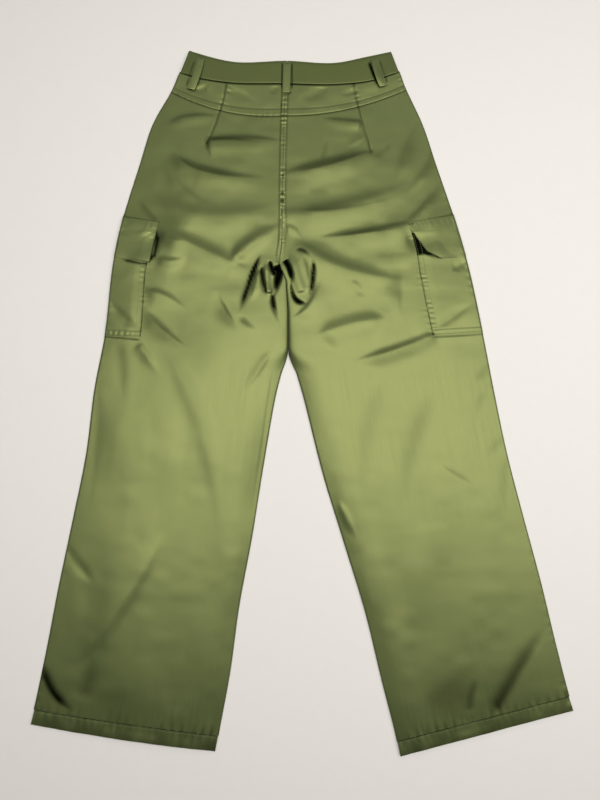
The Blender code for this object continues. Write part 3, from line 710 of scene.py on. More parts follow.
    def shade(self, down: Array, across: Array) -> Array:
        """Painted shade of the cloth, from 0 to 1: in its folds, its seam grooves, towards the hem and around
        the belt loops.
        """
        plan = self.plan(down, across)
        folds = self.fold_relief(plan, down)[..., 3] * 1.4
        inner = (1 - across) * self.width(down)
        seat = 1 - np.clip(self.column("inner_drop", down) * 3, 0, 1)
        step = down - self.down_of("yoke")
        # Painted shade in the grooves of the centre, yoke and waist seams, along their stitching and along
        # the dart
        seam_groove_shade = 0.55 * bell(inner - CENTRE_STITCH, 0.0009) * seat
        seam_groove_shade = seam_groove_shade + 0.30 * bell(inner, 0.0006) * seat
        seam_groove_shade = seam_groove_shade + 0.60 * bell(step, 0.0010) + 0.30 * bell(step + YOKE_STITCH, 0.0008)
        seam_groove_shade = seam_groove_shade + 0.85 * bell(down, 0.0013) + 0.55 * self.dart.line(0.0009, plan)
        # Painted shade that darkens the cloth towards the hem seam and in its gathers
        hem = down - self.down_of("hem_seam")
        gathers = np.clip(pucker(hem, inner, 0.009, 0.013, 1.0, self.seed + 37), 0, None)
        hem = 0.16 * smooth_step(-0.090, 0.0, hem) + 0.30 * gathers
        return np.clip(folds + seam_groove_shade + hem + loop_shadow(plan), 0, 1)

    def unevenness(self, x: Array, y: Array, down: Array) -> Array:
        """Slow waves of loosely lying cloth, long down the leg and finer in the seat."""
        seat = smooth_step(-0.42, -0.30, -down)
        long_wave = soft_noise(x * 1.6, y * 0.55, 0.055, self.seed + 101) * 0.0009
        broad = soft_noise(x, y, 0.085, self.seed + 102) * 0.0009
        fine = soft_noise(x, y * 1.5, 0.026, self.seed + 103) * (0.00020 + 0.00025 * seat)
        return long_wave * (1 - 0.5 * seat) + broad + fine

    def seam_relief(self, down: Array, across: Array, x: Array, y: Array) -> Array:
        """Ridges, grooves and gathers at the centre seam, yoke seam, dart, pocket edge and hem."""
        width = self.width(down)
        inner = (1 - across) * width
        seat = 1 - np.clip(self.column("inner_drop", down) * 3, 0, 1)
        strip = 0.0008 * smooth_step(-0.0058, -0.0042, -inner) - 0.0007 * bell(inner - CENTRE_STITCH, 0.0011)
        centre = (strip + pucker(inner - 0.0015, down, 0.0026, 0.0063, 0.0011, 31)) * seat
        step = down - self.down_of("yoke")
        waist = -0.0022 * bell(down, 0.0014)
        groove = -0.0007 * bell(step, 0.0016) + 0.0005 * smooth_step(-0.0115, -0.0095, step) * (step <= 0)
        groove = groove - 0.0004 * bell(step + YOKE_STITCH, 0.0012)
        groove = groove + pucker(step, x, 0.007, 0.0105, 0.00028, self.seed + 32)
        pocket = across * width - np.interp(down, POCKET_SPAN, self.pocket_width)
        inside = smooth_step(0.262, 0.275, down) * smooth_step(-0.455, -0.445, -down)
        gathers = pucker(pocket, down, 0.005, 0.0090, 0.00022, self.seed + 33) * inside
        hollow = -0.0035 * bell(pocket - 0.002, 0.007) * \
            bell(down - 0.292, 0.016)
        hem = self.down_of("hem_seam") - down
        hem_gathers = pucker(hem, across * width, 0.012, 0.0125, 0.00035, self.seed + 34)
        side = pucker(across * width, down, 0.006, 0.0140, 0.00022, self.seed + 35)
        return centre + waist + groove + self.dart.relief(x, y) + gathers + hollow + hem_gathers + side


def leg_patterns() -> tuple[LegPattern, LegPattern]:
    """The left and right halves of the garment."""
    left = LegPattern(Side.LEFT, levels(Side.LEFT), LEFT_CREASES,
                      Dart((-0.122, 0.487), (-0.133, 0.436), (-0.152, 0.384)), (0.053, 0.055), 100)
    right = LegPattern(Side.RIGHT, levels(Side.RIGHT), RIGHT_CREASES,
                       Dart((0.083, 0.488), (0.0905, 0.447), (0.110, 0.370)), (0.072, 0.077), 200)
    return left, right


# ---- Meshes ----

def put_mesh(name: str, points: Array, quads: Array, uv: Array, material: Material,
             shade: Array | None = None) -> Piece:
    """Make an object from points, four-sided faces and one (u, v) for each point.

    Args:
        name: object name.
        points: (n, 3) positions.
        quads: (m, 4) point indices.
        uv: (n, 2) cloth coordinates in metres.
        material: its material.
        shade: painted shade of each point, kept as a point attribute that the cloth's material reads.
    Returns:
        The new object, at the origin.
    """
    mesh = bpy.data.meshes.new(name)
    mesh.vertices.add(len(points))
    mesh.vertices.foreach_set("co", points.astype(np.float32).ravel())
    mesh.loops.add(quads.size)
    mesh.loops.foreach_set("vertex_index", quads.astype(np.int32).ravel())
    mesh.polygons.add(len(quads))
    mesh.polygons.foreach_set("loop_start", np.arange(0, quads.size, 4, dtype=np.int32))
    mesh.update(calc_edges=True)
    layer = mesh.uv_layers.new(name="cloth")
    layer.data.foreach_set("uv", uv[quads.ravel()].astype(np.float32).ravel())
    if shade is not None:
        attribute = mesh.attributes.new(PAINTED_SHADE, "FLOAT", "POINT")
        attribute.data.foreach_set("value", shade.astype(np.float32).ravel())
    mesh.materials.append(material)
    mesh.validate()
    mesh.shade_smooth()
    mesh.set_sharp_from_angle(angle=math.radians(SHARP_ANGLE))
    piece = bpy.data.objects.new(name, mesh)
    bpy.context.scene.collection.objects.link(piece)
    return piece


def grid_normals(points: Array) -> Array:
    """Unit normals of a grid: the cross product of its changes along rows and along columns."""
    rows = np.gradient(points, axis=0)
    columns = np.gradient(points, axis=1)
    return unit(np.cross(rows, columns))


def grid_quads(rows: int, columns: int, ring: bool) -> tuple[Array, Array]:
    """Point numbers of a grid and its four-sided faces.

    Args:
        rows: number of rows.
        columns: number of columns.
        ring: True where the last column joins the first.
    Returns:
        The numbers, with the first column repeated at the end of a ring, and the faces.
    """
    index = np.arange(rows * columns).reshape(rows, columns)
    if ring:
        index = np.concatenate([index, index[:, :1]], axis=1)
    corners = [index[:-1, :-1], index[1:, :-1], index[1:, 1:], index[:-1, 1:]]
    return index, np.stack(corners, axis=-1).reshape(-1, 4)


def shell(name: str, points: Array, uv: Array, thickness: float, material: Material,
          flip: bool = False, ring: bool = False, shade: Array | None = None) -> Piece:
    """Closed thin shell: the grid of outer points, a copy of it moved in along the normals, and a rim.

    Args:
        name: object name.
        points: (rows, columns, 3) outer points; normal = row step x column step points out.
        uv: (rows, columns, 2) cloth coordinates.
        thickness: wall of the shell.
        material: its material.
        flip: True where the grid's normals point in.
        ring: True where the last column joins the first.
        shade: (rows, columns) painted shade at each outer point.
    Returns:
        The new object.
    """
    rows, columns = points.shape[:2]
    sign = -1.0 if flip else 1.0
    if ring:
        wrapped = np.concatenate([points[:, -1:], points, points[:, :1]], axis=1)
        normals = grid_normals(wrapped)[:, 1:-1]
    else:
        normals = grid_normals(points)
    inner = points - normals * thickness * sign
    index, top = grid_quads(rows, columns, ring)
    layer = rows * columns
    below = top[:, ::-1] + layer
    rims = []
    edges = [index[0], index[-1][::-1]] if ring else \
        [np.concatenate([index[0], index[1:, -1], index[-1, -2::-1], index[-2::-1, 0]])]
    for edge in edges:
        rims.append(np.stack([edge[:-1], edge[1:], edge[1:] + layer, edge[:-1] + layer], axis=-1))
    quads = np.concatenate([top, below] + rims)
    if flip:
        quads = quads[:, ::-1]
    both = np.concatenate([points.reshape(-1, 3), inner.reshape(-1, 3)])
    both_uv = np.concatenate([uv.reshape(-1, 2)] * 2)
    both_shade = None if shade is None else np.concatenate([shade.ravel()] * 2)
    return put_mesh(name, both, quads, both_uv, material, both_shade)


def edge_arc(top_end: Array, under_end: Array, outward: Array, steps: int = 7, bulge: float = 0.6) -> Array:
    """Half ellipses that carry each row of cloth round an edge, from above it to below it.

    Args:
        top_end: (rows, 3) last points above.
        under_end: (rows, 3) first points below.
        outward: (rows, 2) plan directions out of the edge.
        steps: points on each arc.
        bulge: how far an arc stands out, as a share of its half height.
    Returns:
        (rows, steps, 3) points between the two ends.
    """
    angle = np.linspace(math.pi / 2, -math.pi / 2, steps + 2)[1:-1]
    middle = (top_end + under_end) / 2
    radius = (top_end[:, 2] - under_end[:, 2]) / 2
    reach = bulge * radius[:, None] * np.cos(angle)
    plan = middle[:, None, :2] + outward[:, None, :] * reach[..., None]
    height = middle[:, None, 2] + radius[:, None] * np.sin(angle)
    return np.concatenate([plan, height[..., None]], axis=-1)


def stitches(name: str, lines: list[Array], material: Material, pitch: float = 0.0038,
             length: float = 0.0029, width: float = 0.00062) -> Piece:
    """Rows of thread stitches: along each line, one bent capsule at every pitch.

    A capsule is a grid of rings: its radius is the root of 1 - t^2 along its length t, and it dips at both
    ends, where the thread goes into the cloth.

    Args:
        name: object name.
        lines: (n, 6) arrays of surface points and normals.
        material: thread material.
        pitch: spacing of the stitches.
        length: length of one stitch.
        width: thread thickness.
    Returns:
        One joined object.
    """
    sides, rings = 6, 5
    t = np.linspace(-0.96, 0.96, rings)
    angle = np.linspace(0, 2 * math.pi, sides, endpoint=False)
    radius = np.sqrt(1 - t**2)[:, None] * width / 2
    template = np.stack([np.repeat(t[:, None] * length / 2, sides, axis=1), radius * np.cos(angle),
                         radius * np.sin(angle) - (t[:, None] ** 2) * width * 0.45], axis=-1).reshape(-1, 3)
    tube = grid_quads(rings, sides, True)[1]
    caps = np.array([[0, 1, 2, 3], [0, 3, 4, 5]])
    last = (rings - 1) * sides
    faces = np.concatenate([tube[:, ::-1], caps[:, ::-1], caps + last])
    centres, along, up = [], [], []
    for line in lines:
        step = np.linalg.norm(np.diff(line[:, :3], axis=0), axis=1)
        run = np.concatenate([[0], np.cumsum(step)])
        at = np.arange(pitch / 2, run[-1], pitch)
        place = np.stack([np.interp(at, run, line[:, axis]) for axis in range(6)], axis=-1)
        ahead = np.stack([np.interp(at + pitch / 3, run, line[:, axis]) for axis in range(3)], axis=-1)
        behind = np.stack([np.interp(at - pitch / 3, run, line[:, axis]) for axis in range(3)], axis=-1)
        centres.append(place[:, :3])
        along.append(ahead - behind)
        up.append(place[:, 3:])
    centre, direction, normal = (np.concatenate(part) for part in (centres, along, up))
    direction, normal = unit(direction), unit(normal)
    aside = np.cross(normal, direction)
    axes = np.stack([direction, aside, normal], axis=1)
    points = np.einsum("pk,nkc->npc", template, axes) + (centre + normal * width * 0.30)[:, None, :]
    quads = (faces[None] + (np.arange(len(centre)) * len(template))[:, None, None]).reshape(-1, 4)
    flat = points.reshape(-1, 3)
    return put_mesh(name, flat, quads, flat[:, :2], material)


def surface_line(surface: Surface, first: Array | float, second: Array | float,
                 step: float = 0.0006) -> Array:
    """Points and upward normals along a line drawn on a surface.

    Args:
        surface: function of two parameters that gives points.
        first: first parameter along the line.
        second: second parameter along the line.
        step: parameter change used to measure the slope.
    Returns:
        (n, 6) array of points and normals.
    """
    first, second = spread(first, second)
    point = surface(first, second)
    normal = np.cross(surface(first + step, second) - point, surface(first, second + step) - point)
    normal = normal * np.sign(normal[:, 2:3] + 1e-12)
    return np.concatenate([point, unit(normal)], axis=1)


# ---- Finishes ----

class GroupName(Enum):
    """Shader node groups that several finishes share."""

    TWILL = "satin_twill_weave"


def new_group(name: GroupName, inputs: dict[str, tuple[str, float]],
              outputs: dict[str, str]) -> Tree:
    """Start a shader node group.

    Args:
        name: which group.
        inputs: socket name to (socket type, default value).
        outputs: socket name to socket type.
    Returns:
        The tree, with its input and output nodes added.
    """
    tree = bpy.data.node_groups.new(name.value, "ShaderNodeTree")
    for label, (kind, default) in inputs.items():
        socket = tree.interface.new_socket(label, in_out="INPUT", socket_type=kind)
        if kind == "NodeSocketFloat":
            socket.default_value = default
    for label, kind in outputs.items():
        tree.interface.new_socket(label, in_out="OUTPUT", socket_type=kind)
    tree.nodes.new("NodeGroupInput").name = "in"
    tree.nodes.new("NodeGroupOutput").name = "out"
    return tree


def math_node(tree: Tree, operation: str, first: Socket | float,
              second: Socket | float | None = None) -> Socket:
    """Add a Math node fed by sockets or numbers and return its output."""
    node = tree.nodes.new("ShaderNodeMath")
    node.operation = operation
    for socket, value in zip(node.inputs, (first, second)):
        if isinstance(value, (int, float)):
            socket.default_value = value
        elif value is not None:
            tree.links.new(value, socket)
    return node.outputs[0]


def mix_node(tree: Tree, first: tuple[float, ...] | Socket, second: tuple[float, ...],
             factor: Socket) -> Socket:
    """Add a colour Mix node and return its output.

    Args:
        tree: where it goes.
        first: colour at factor 0, or the socket that gives it.
        second: colour at factor 1.
        factor: socket with the share of the second colour.
    Returns:
        The mixed colour's socket.
    """
    mix = tree.nodes.new("ShaderNodeMix")
    mix.data_type = "RGBA"
    mix.inputs["B"].default_value = (*second, 1.0)
    tree.links.new(factor, mix.inputs["Factor"])
    if isinstance(first, tuple):
        mix.inputs["A"].default_value = (*first, 1.0)
    else:
        tree.links.new(first, mix.inputs["A"])
    return mix.outputs["Result"]


def add_bump(tree: Tree, height: Socket, strength: float, distance: float) -> None:
    """Give the material's shader a bump."""
    bump = tree.nodes.new("ShaderNodeBump")
    bump.inputs["Strength"].default_value = strength
    bump.inputs["Distance"].default_value = distance
    tree.links.new(height, bump.inputs["Height"])
    tree.links.new(bump.outputs[0], tree.nodes["Principled BSDF"].inputs["Normal"])


def twill_group() -> Tree:
    """Weave of the cloth from its own coordinates: diagonal ribs, lengthwise streaks and soft mottling.

    Ribs are a sine of (u + v) at the rib spacing. Streaks are noise drawn out 40 times along v. Puts out a
    colour mask around 0.5, the bump height and a roughness shift.
    """
    found = bpy.data.node_groups.get(GroupName.TWILL.value)
    if found:
        return found
    tree = new_group(GroupName.TWILL,
                     {"Vector": ("NodeSocketVector", 0.0), "Ribs per metre": ("NodeSocketFloat", 1500.0),
                      "Streak": ("NodeSocketFloat", 1.0)},
                     {label: "NodeSocketFloat" for label in ("Mask", "Height", "Roughness shift")})
    source, out = tree.nodes["in"], tree.nodes["out"]
    split = tree.nodes.new("ShaderNodeSeparateXYZ")
    tree.links.new(source.outputs["Vector"], split.inputs[0])
    u, v = split.outputs[0], split.outputs[1]
    diagonal = math_node(tree, "ADD", u, math_node(tree, "MULTIPLY", v, 0.62))
    turns = math_node(tree, "MULTIPLY", diagonal, source.outputs["Ribs per metre"])
    rib = math_node(tree, "SINE", math_node(tree, "MULTIPLY", turns, 2 * math.pi))
    across = math_node(tree, "SUBTRACT", v, u)
    cross_turns = math_node(tree, "MULTIPLY", across, source.outputs["Ribs per metre"])
    cross = math_node(tree, "SINE", math_node(tree, "MULTIPLY", cross_turns, 4 * math.pi))
    weave = math_node(tree, "ADD", rib, math_node(tree, "MULTIPLY", cross, 0.35))

    def noise(scale: tuple[float, float, float], size: float, detail: float) -> Socket:
        """Noise on the stretched cloth coordinates."""
        mapping = tree.nodes.new("ShaderNodeMapping")
        mapping.inputs["Scale"].default_value = scale
        tree.links.new(source.outputs["Vector"], mapping.inputs["Vector"])
        node = tree.nodes.new("ShaderNodeTexNoise")
        node.inputs["Scale"].default_value = size
        node.inputs["Detail"].default_value = detail
        tree.links.new(mapping.outputs[0], node.inputs["Vector"])
        return node.outputs["Fac"]

    streak = noise((1.0, 0.025, 1.0), 420.0, 3.0)
    mottle = noise((1.0, 0.6, 1.0), 14.0, 2.0)
    slub = noise((0.05, 1.0, 1.0), 700.0, 2.0)
    streak = math_node(tree, "MULTIPLY", math_node(tree, "SUBTRACT", streak, 0.5), source.outputs["Streak"])
    mask = math_node(tree, "MULTIPLY", streak, 0.55)
    for part, middle, share in ((mottle, 0.5, 0.5), (slub, 0.5, 0.15), (weave, 0.0, 0.03)):
        change = math_node(tree, "MULTIPLY", math_node(tree, "SUBTRACT", part, middle), share)
        mask = math_node(tree, "ADD", mask, change)
    tree.links.new(math_node(tree, "ADD", mask, 0.5), out.inputs["Mask"])
    height = math_node(tree, "ADD", weave, math_node(tree, "MULTIPLY", streak, 0.8))
    tree.links.new(height, out.inputs["Height"])
    tree.links.new(math_node(tree, "MULTIPLY", streak, 0.10), out.inputs["Roughness shift"])
    return tree


@dataclass(frozen=True)
class TwillFinish:
    """Satin-faced twill: a deep and a light olive, with the tinted gloss of its filament yarn.

    Its last field is the near black that painted shade mixes into its colour, and `ribs` the number of ribs
    in a metre.
    """

    name: str
    deep: tuple[float, float, float]
    light: tuple[float, float, float]
    roughness: float = 0.45
    gloss_tint: tuple[float, float, float] = (0.94, 1.0, 0.36)
    refraction: float = 2.05
    sheen: float = 0.03
    bump: float = 0.10
    ribs: float = 1500.0
    painted_shade_colour: tuple[float, float, float] = (0.002, 0.003, 0.001)

    def material(self) -> Material:
        """Build the material: the twill group mixes the two colours and gives the bump."""
        material = bpy.data.materials.new(self.name)
        material.use_nodes = True
        tree = material.node_tree
        shader = tree.nodes["Principled BSDF"]
        uv = tree.nodes.new("ShaderNodeUVMap")
        uv.uv_map = "cloth"
        group = tree.nodes.new("ShaderNodeGroup")
        group.node_tree = twill_group()
        group.inputs["Ribs per metre"].default_value = self.ribs
        group.inputs["Streak"].default_value = 1.0
        tree.links.new(uv.outputs[0], group.inputs["Vector"])
        # Painted shade: the attribute mixes the colour towards near black and, as Metallic, takes away the
        # gloss
        dark = tree.nodes.new("ShaderNodeAttribute")
        dark.attribute_name = PAINTED_SHADE
        weave = mix_node(tree, self.deep, self.light, group.outputs["Mask"])
        tree.links.new(mix_node(tree, weave, self.painted_shade_colour, dark.outputs["Fac"]), shader.inputs["Base Color"])
        rough = math_node(tree, "ADD", group.outputs["Roughness shift"], self.roughness)
        tree.links.new(rough, shader.inputs["Roughness"])
        add_bump(tree, group.outputs["Height"], self.bump, 0.0001)
        tree.links.new(dark.outputs["Fac"], shader.inputs["Metallic"])
        shader.inputs["IOR"].default_value = self.refraction
        shader.inputs["Specular IOR Level"].default_value = 0.5
        shader.inputs["Specular Tint"].default_value = (*self.gloss_tint, 1.0)
        shader.inputs["Sheen Weight"].default_value = self.sheen
        shader.inputs["Sheen Roughness"].default_value = 0.35
        shader.inputs["Sheen Tint"].default_value = (0.86, 0.92, 0.62, 1.0)
        return material


@dataclass(frozen=True)
class PlainFinish:
    """Smooth material with fine grain: thread, button resin or the surface underneath."""

    name: str
    colour: tuple[float, float, float]
    roughness: float
    grain_scale: float
    grain_strength: float
    spread: float = 0.04

    def material(self) -> Material:
        """Build the material: noise on the object's own coordinates varies the colour and the bump."""
        material = bpy.data.materials.new(self.name)
        material.use_nodes = True
        tree = material.node_tree
        shader = tree.nodes["Principled BSDF"]
        place = tree.nodes.new("ShaderNodeTexCoord")
        noise = tree.nodes.new("ShaderNodeTexNoise")
        noise.inputs["Scale"].default_value = self.grain_scale
        noise.inputs["Detail"].default_value = 4.0
        tree.links.new(place.outputs["Object"], noise.inputs["Vector"])
        low, high = (tuple(channel * (1 + change) for channel in self.colour)
                     for change in (-self.spread, self.spread))
        tree.links.new(mix_node(tree, low, high, noise.outputs["Fac"]), shader.inputs["Base Color"])
        add_bump(tree, noise.outputs["Fac"], self.grain_strength, 0.0002)
        shader.inputs["Roughness"].default_value = self.roughness
        return material


PANEL_FINISH = TwillFinish("olive_twill_panel", (0.024, 0.035, 0.013), (0.038, 0.053, 0.020))
TRIM_FINISH = TwillFinish("olive_twill_trim", (0.026, 0.038, 0.014), (0.040, 0.056, 0.022))
# The waistband's copy of the twill is darker and less glossy: painted shade
SHADED_BAND_FINISH = TwillFinish("olive_twill_band_painted_shade", (0.020, 0.030, 0.009), (0.032, 0.045, 0.014), refraction=1.80)
THREAD_FINISH = PlainFinish("olive_thread", (0.120, 0.140, 0.052), 0.55, 900.0, 0.2)
BUTTON_FINISH = PlainFinish("olive_button", (0.055, 0.065, 0.030), 0.35, 260.0, 0.1, 0.2)
FLOOR_FINISH = PlainFinish("pale_surface", (0.60, 0.572, 0.532), 0.85, 60.0, 0.15, 0.015)


@dataclass
class Finishes:
    """Every material of the garment, made once."""

    panel: Material = field(default_factory=PANEL_FINISH.material)
    trim: Material = field(default_factory=TRIM_FINISH.material)
    band: Material = field(default_factory=SHADED_BAND_FINISH.material)
    thread: Material = field(default_factory=THREAD_FINISH.material)
    button: Material = field(default_factory=BUTTON_FINISH.material)


def wear(piece: Piece, nodes: tuple[str, ...] = ()) -> Piece:
    """Make a piece ride on the garment and stand for CAD nodes.

    Args:
        piece: the finished piece.
        nodes: CAD nodes that it replaces.
    Returns:
        The same piece.
    """
    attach(piece, BODY)
    if nodes:
        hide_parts(*nodes)
    LOG.info("%s: %d faces", piece.name, len(piece.data.polygons))
    return piece


# ---- Legs ----

@dataclass
class Leg:
    """Front panel, back panel, yoke and hem of one half."""

    pattern: LegPattern
    finishes: Finishes
    cloth: float = 0.0005
    hem_cloth: float = 0.0011
    rows: int = 396
    columns: int = 108

    @property
    def flip(self) -> bool:
        """Whether this side's grids run the other way round."""
        return self.pattern.side is Side.RIGHT

    def across_columns(self, count: int) -> Array:
        """Columns packed at the edges, the dart and the crotch."""
        dart = (0.40, 0.50) if self.pattern.side is Side.LEFT else (0.37, 0.47)
        stops = [(0.0, 3.4), (0.02, 2.6), (0.05, 1.2), (dart[0] - 0.03, 1.0), (dart[0], 2.0), (dart[1], 2.0),
                 (dart[1] + 0.04, 1.1), (0.64, 1.4), (0.72, 2.3), (0.97, 2.3), (0.99, 3.0), (1.0, 3.4)]
        return graded(stops, count)

    def cloth_uv(self, down: Array, across: Array, points: Array) -> Array:
        """Cloth coordinates: metres across from the inner edge and metres down."""
        return np.stack([across * self.pattern.width(down), down + points[..., 0] * 0], axis=-1)

    def sheet(self, name: str, down: Array, across: Array, surface: Surface, material: Material,
              thickness: float, flip: bool, shaded: bool = False) -> Piece:
        """Shell over a whole grid of a surface.

        Args:
            name: object name.
            down: row positions.
            across: column positions.
            surface: function of (down, across).
            material: its cloth.
            thickness: wall.
            flip: True where the grid's normals point in.
            shaded: True to paint shade into the cloth in its folds, seam grooves and hem and around the belt
                loops.
        Returns:
            The new piece.
        """
        rows, columns = np.meshgrid(down, across, indexing="ij")
        points = surface(rows, columns)
        if self.pattern.side is Side.LEFT and surface != self.front:
            lap = 1 - np.clip(self.pattern.column("inner_drop", rows[:, -1]), 0, 1)
            points[:, -1] += lap[:, None] * np.array([0.0014, 0.0, -0.0009])
        shade = self.pattern.shade(rows, columns) if shaded else None
        uv = self.cloth_uv(rows, columns, points)
        return shell(name, points, uv, thickness, material, flip, shade=shade)

    def build_back(self) -> Piece:
        """Back panel, from the yoke seam to the hem seam."""
        pattern = self.pattern
        top, low = pattern.down_of("yoke") + SEAM_GAP, pattern.down_of("hem_seam") - SEAM_GAP
        stops = [(top, 3.0), (0.06, 2.0), (0.12, 1.6), (0.25, 1.4), (0.28, 2.6), (0.46, 2.6), (0.50, 1.0),
                 (0.98, 1.0), (1.0, 2.0), (low, 2.6)]
        name = f"back_panel_{pattern.side.label}_cloth"
        piece = self.sheet(name, graded(stops, self.rows), self.across_columns(self.columns), pattern.back,
                           self.finishes.panel, self.cloth, self.flip, True)
        wear(piece, (f"back_panel_{pattern.side.label}",))
        return piece

    def yoke_surface(self, down: Array, across: Array) -> Array:
        """The back surface with the yoke's own dents."""
        points = self.pattern.back(down, across)
        height = total_relief(YOKE_CREASES[self.pattern.side], points[..., :2], 0)[..., 0]
        points[..., 2] += height * smooth_step(0.0, 0.006, np.asarray(down, float))
        return points

    def build_yoke(self) -> Piece:
        """Yoke between the waistband and the back panel, with its double topstitching."""
        pattern = self.pattern
        seam = pattern.down_of("yoke")
        name = f"back_yoke_{pattern.side.label}_cloth"
        down = graded([(0.0, 1.5), (0.01, 1.0), (0.030, 1.0), (seam, 2.0)], 46)
        piece = self.sheet(name, down, self.across_columns(120), self.yoke_surface, self.finishes.panel,
                           self.cloth, self.flip, True)
        wear(piece, (f"back_yoke_{pattern.side.label}",))
        share = np.linspace(0.004, 0.996, 160)
        lines = [surface_line(self.yoke_surface, seam - inset, share) for inset in (0.0016, 0.0098)]
        wear(stitches(f"yoke_stitches_{pattern.side.label}", lines, self.finishes.thread))
        return piece

    def build_centre_stitches(self) -> None:
        """Row of topstitching beside the centre back seam."""
        pattern, inset = self.pattern, 0.0050
        down = np.linspace(0.012, 0.300, 240)
        line = surface_line(pattern.back, down, 1 - inset / pattern.width(down))
        wear(stitches(f"centre_stitches_{pattern.side.label}", [line], self.finishes.thread))

    def front(self, down: Array, across: Array) -> Array:
        """Upper side of the front panel, with soft uneven waves where the back leaves it room to rise.

        The waves are long down the leg and short across it, bend towards the crotch and die away at the
        edges; nowhere do they take up more than half the room under the back.
        """
        pattern = self.pattern
        down, across = spread(down, across)
        plan = pattern.plan(down, across)
        height = pattern.front_height(down, across)
        bent = plan[..., 0] + 0.25 * (1 - across) * np.sin(down * 9.0)
        wave = 0.5 + 0.5 * soft_noise(bent, plan[..., 1] * 0.24, 0.030, pattern.seed + 71)
        cross = 0.5 + 0.5 * soft_noise(bent * 0.3, plan[..., 1], 0.034, pattern.seed + 72)
        cross = cross * bell(down - 0.22, 0.16)
        inset = np.minimum(across, 1 - across) * pattern.width(down)
        room = np.clip(pattern.back(down, across)[..., 2] - height - 0.0012, 0, None)
        rise = (0.0032 * wave**2 + 0.0030 * cross**2) * smooth_step(0.010, 0.045, inset)
        rise = rise * smooth_step(0.02, 0.07, down) * smooth_step(-1.01, -0.95, -down)
        return np.concatenate([plan, (height + np.minimum(rise, room * 0.5))[..., None]], axis=-1)

    def build_front(self) -> Piece:
        """Front panel that the garment lies on, from the waist seam to the hem seam."""
        pattern = self.pattern
        down = np.linspace(0.0, pattern.down_of("hem_seam") - SEAM_GAP, 130)
        name = f"front_panel_{pattern.side.label}_cloth"
        piece = self.sheet(name, down, np.linspace(0, 1, 48), self.front, self.finishes.panel,
                           self.cloth, self.flip)
        wear(piece, (f"front_panel_{pattern.side.label}",))
        return piece

    def build_hem(self) -> Piece:
        """Turned-up hem: a flattened tube, with one row of stitching near its upper edge."""
        pattern = self.pattern
        top, low = pattern.down_of("hem_seam") + SEAM_GAP, pattern.down_of("hem_edge")
        across = graded([(0.0, 3.0), (0.03, 1.4), (0.97, 1.4), (1.0, 3.0)], 200)
        across = across[(across > 0.006) & (across < 0.994)]
        down = np.linspace(top, low, 16)
        rows, columns = np.meshgrid(down, across, indexing="ij")
        above = self.hem_top(rows, columns)
        under_across = np.linspace(across[0], across[-1], 60)
        under_rows, under_columns = np.meshgrid(down, under_across, indexing="ij")
        below = self.front(under_rows, under_columns)
        below[..., 2] = pattern.floor_clearance
        out = pattern.outward(down)
        first = edge_arc(above[:, 0], below[:, 0], out)
        last = edge_arc(above[:, -1], below[:, -1], -out)
        points = np.concatenate([above, last, below[:, ::-1], first[:, ::-1]], axis=1)
        girth = run_length(points[:1])
        uv = np.stack(np.broadcast_arrays(girth, down[:, None]), axis=-1)
        name = f"hem_{pattern.side.label}_cloth"
        # Painted shade: the hem is darkened all over, unevenly along its length and more towards its lower
        # edge
        share = ((down - top) / (low - top))[:, None]
        uneven = 0.5 + 0.5 * soft_noise(girth, girth * 0, 0.011, pattern.seed + 36)
        shade = 0.10 + 0.22 * uneven + 0.25 * share**2
        piece = shell(name, points, uv, self.hem_cloth, self.finishes.trim, self.flip, ring=True, shade=shade)
        wear(piece, (f"hem_{pattern.side.label}",))
        places = np.linspace(0.012, 0.988, 200)
        lines = [surface_line(self.hem_top, top + 0.0022, places)]
        wear(stitches(f"hem_stitches_{pattern.side.label}", lines, self.finishes.thread))
        return piece

    def hem_top(self, down: Array, across: Array) -> Array:
        """The back surface, held up by the doubled cloth and gathered along the stitching."""
        points = self.pattern.back(down, across)
        down = np.asarray(down, float) + points[..., 0] * 0
        width = across * self.pattern.width(down)
        top = self.pattern.down_of("hem_seam")
        points[..., 2] += 0.0006 + pucker(down - top, width, 0.006, 0.0105, 0.0004, self.pattern.seed + 34)
        points[..., 2] += 0.0005 * soft_noise(width, down, 0.016, self.pattern.seed + 35)
        return points

    def build(self) -> None:
        """Build every piece of this half."""
        self.build_front()
        self.build_back()
        self.build_yoke()
        self.build_centre_stitches()
        self.build_hem()


# ---- Cargo pockets ----

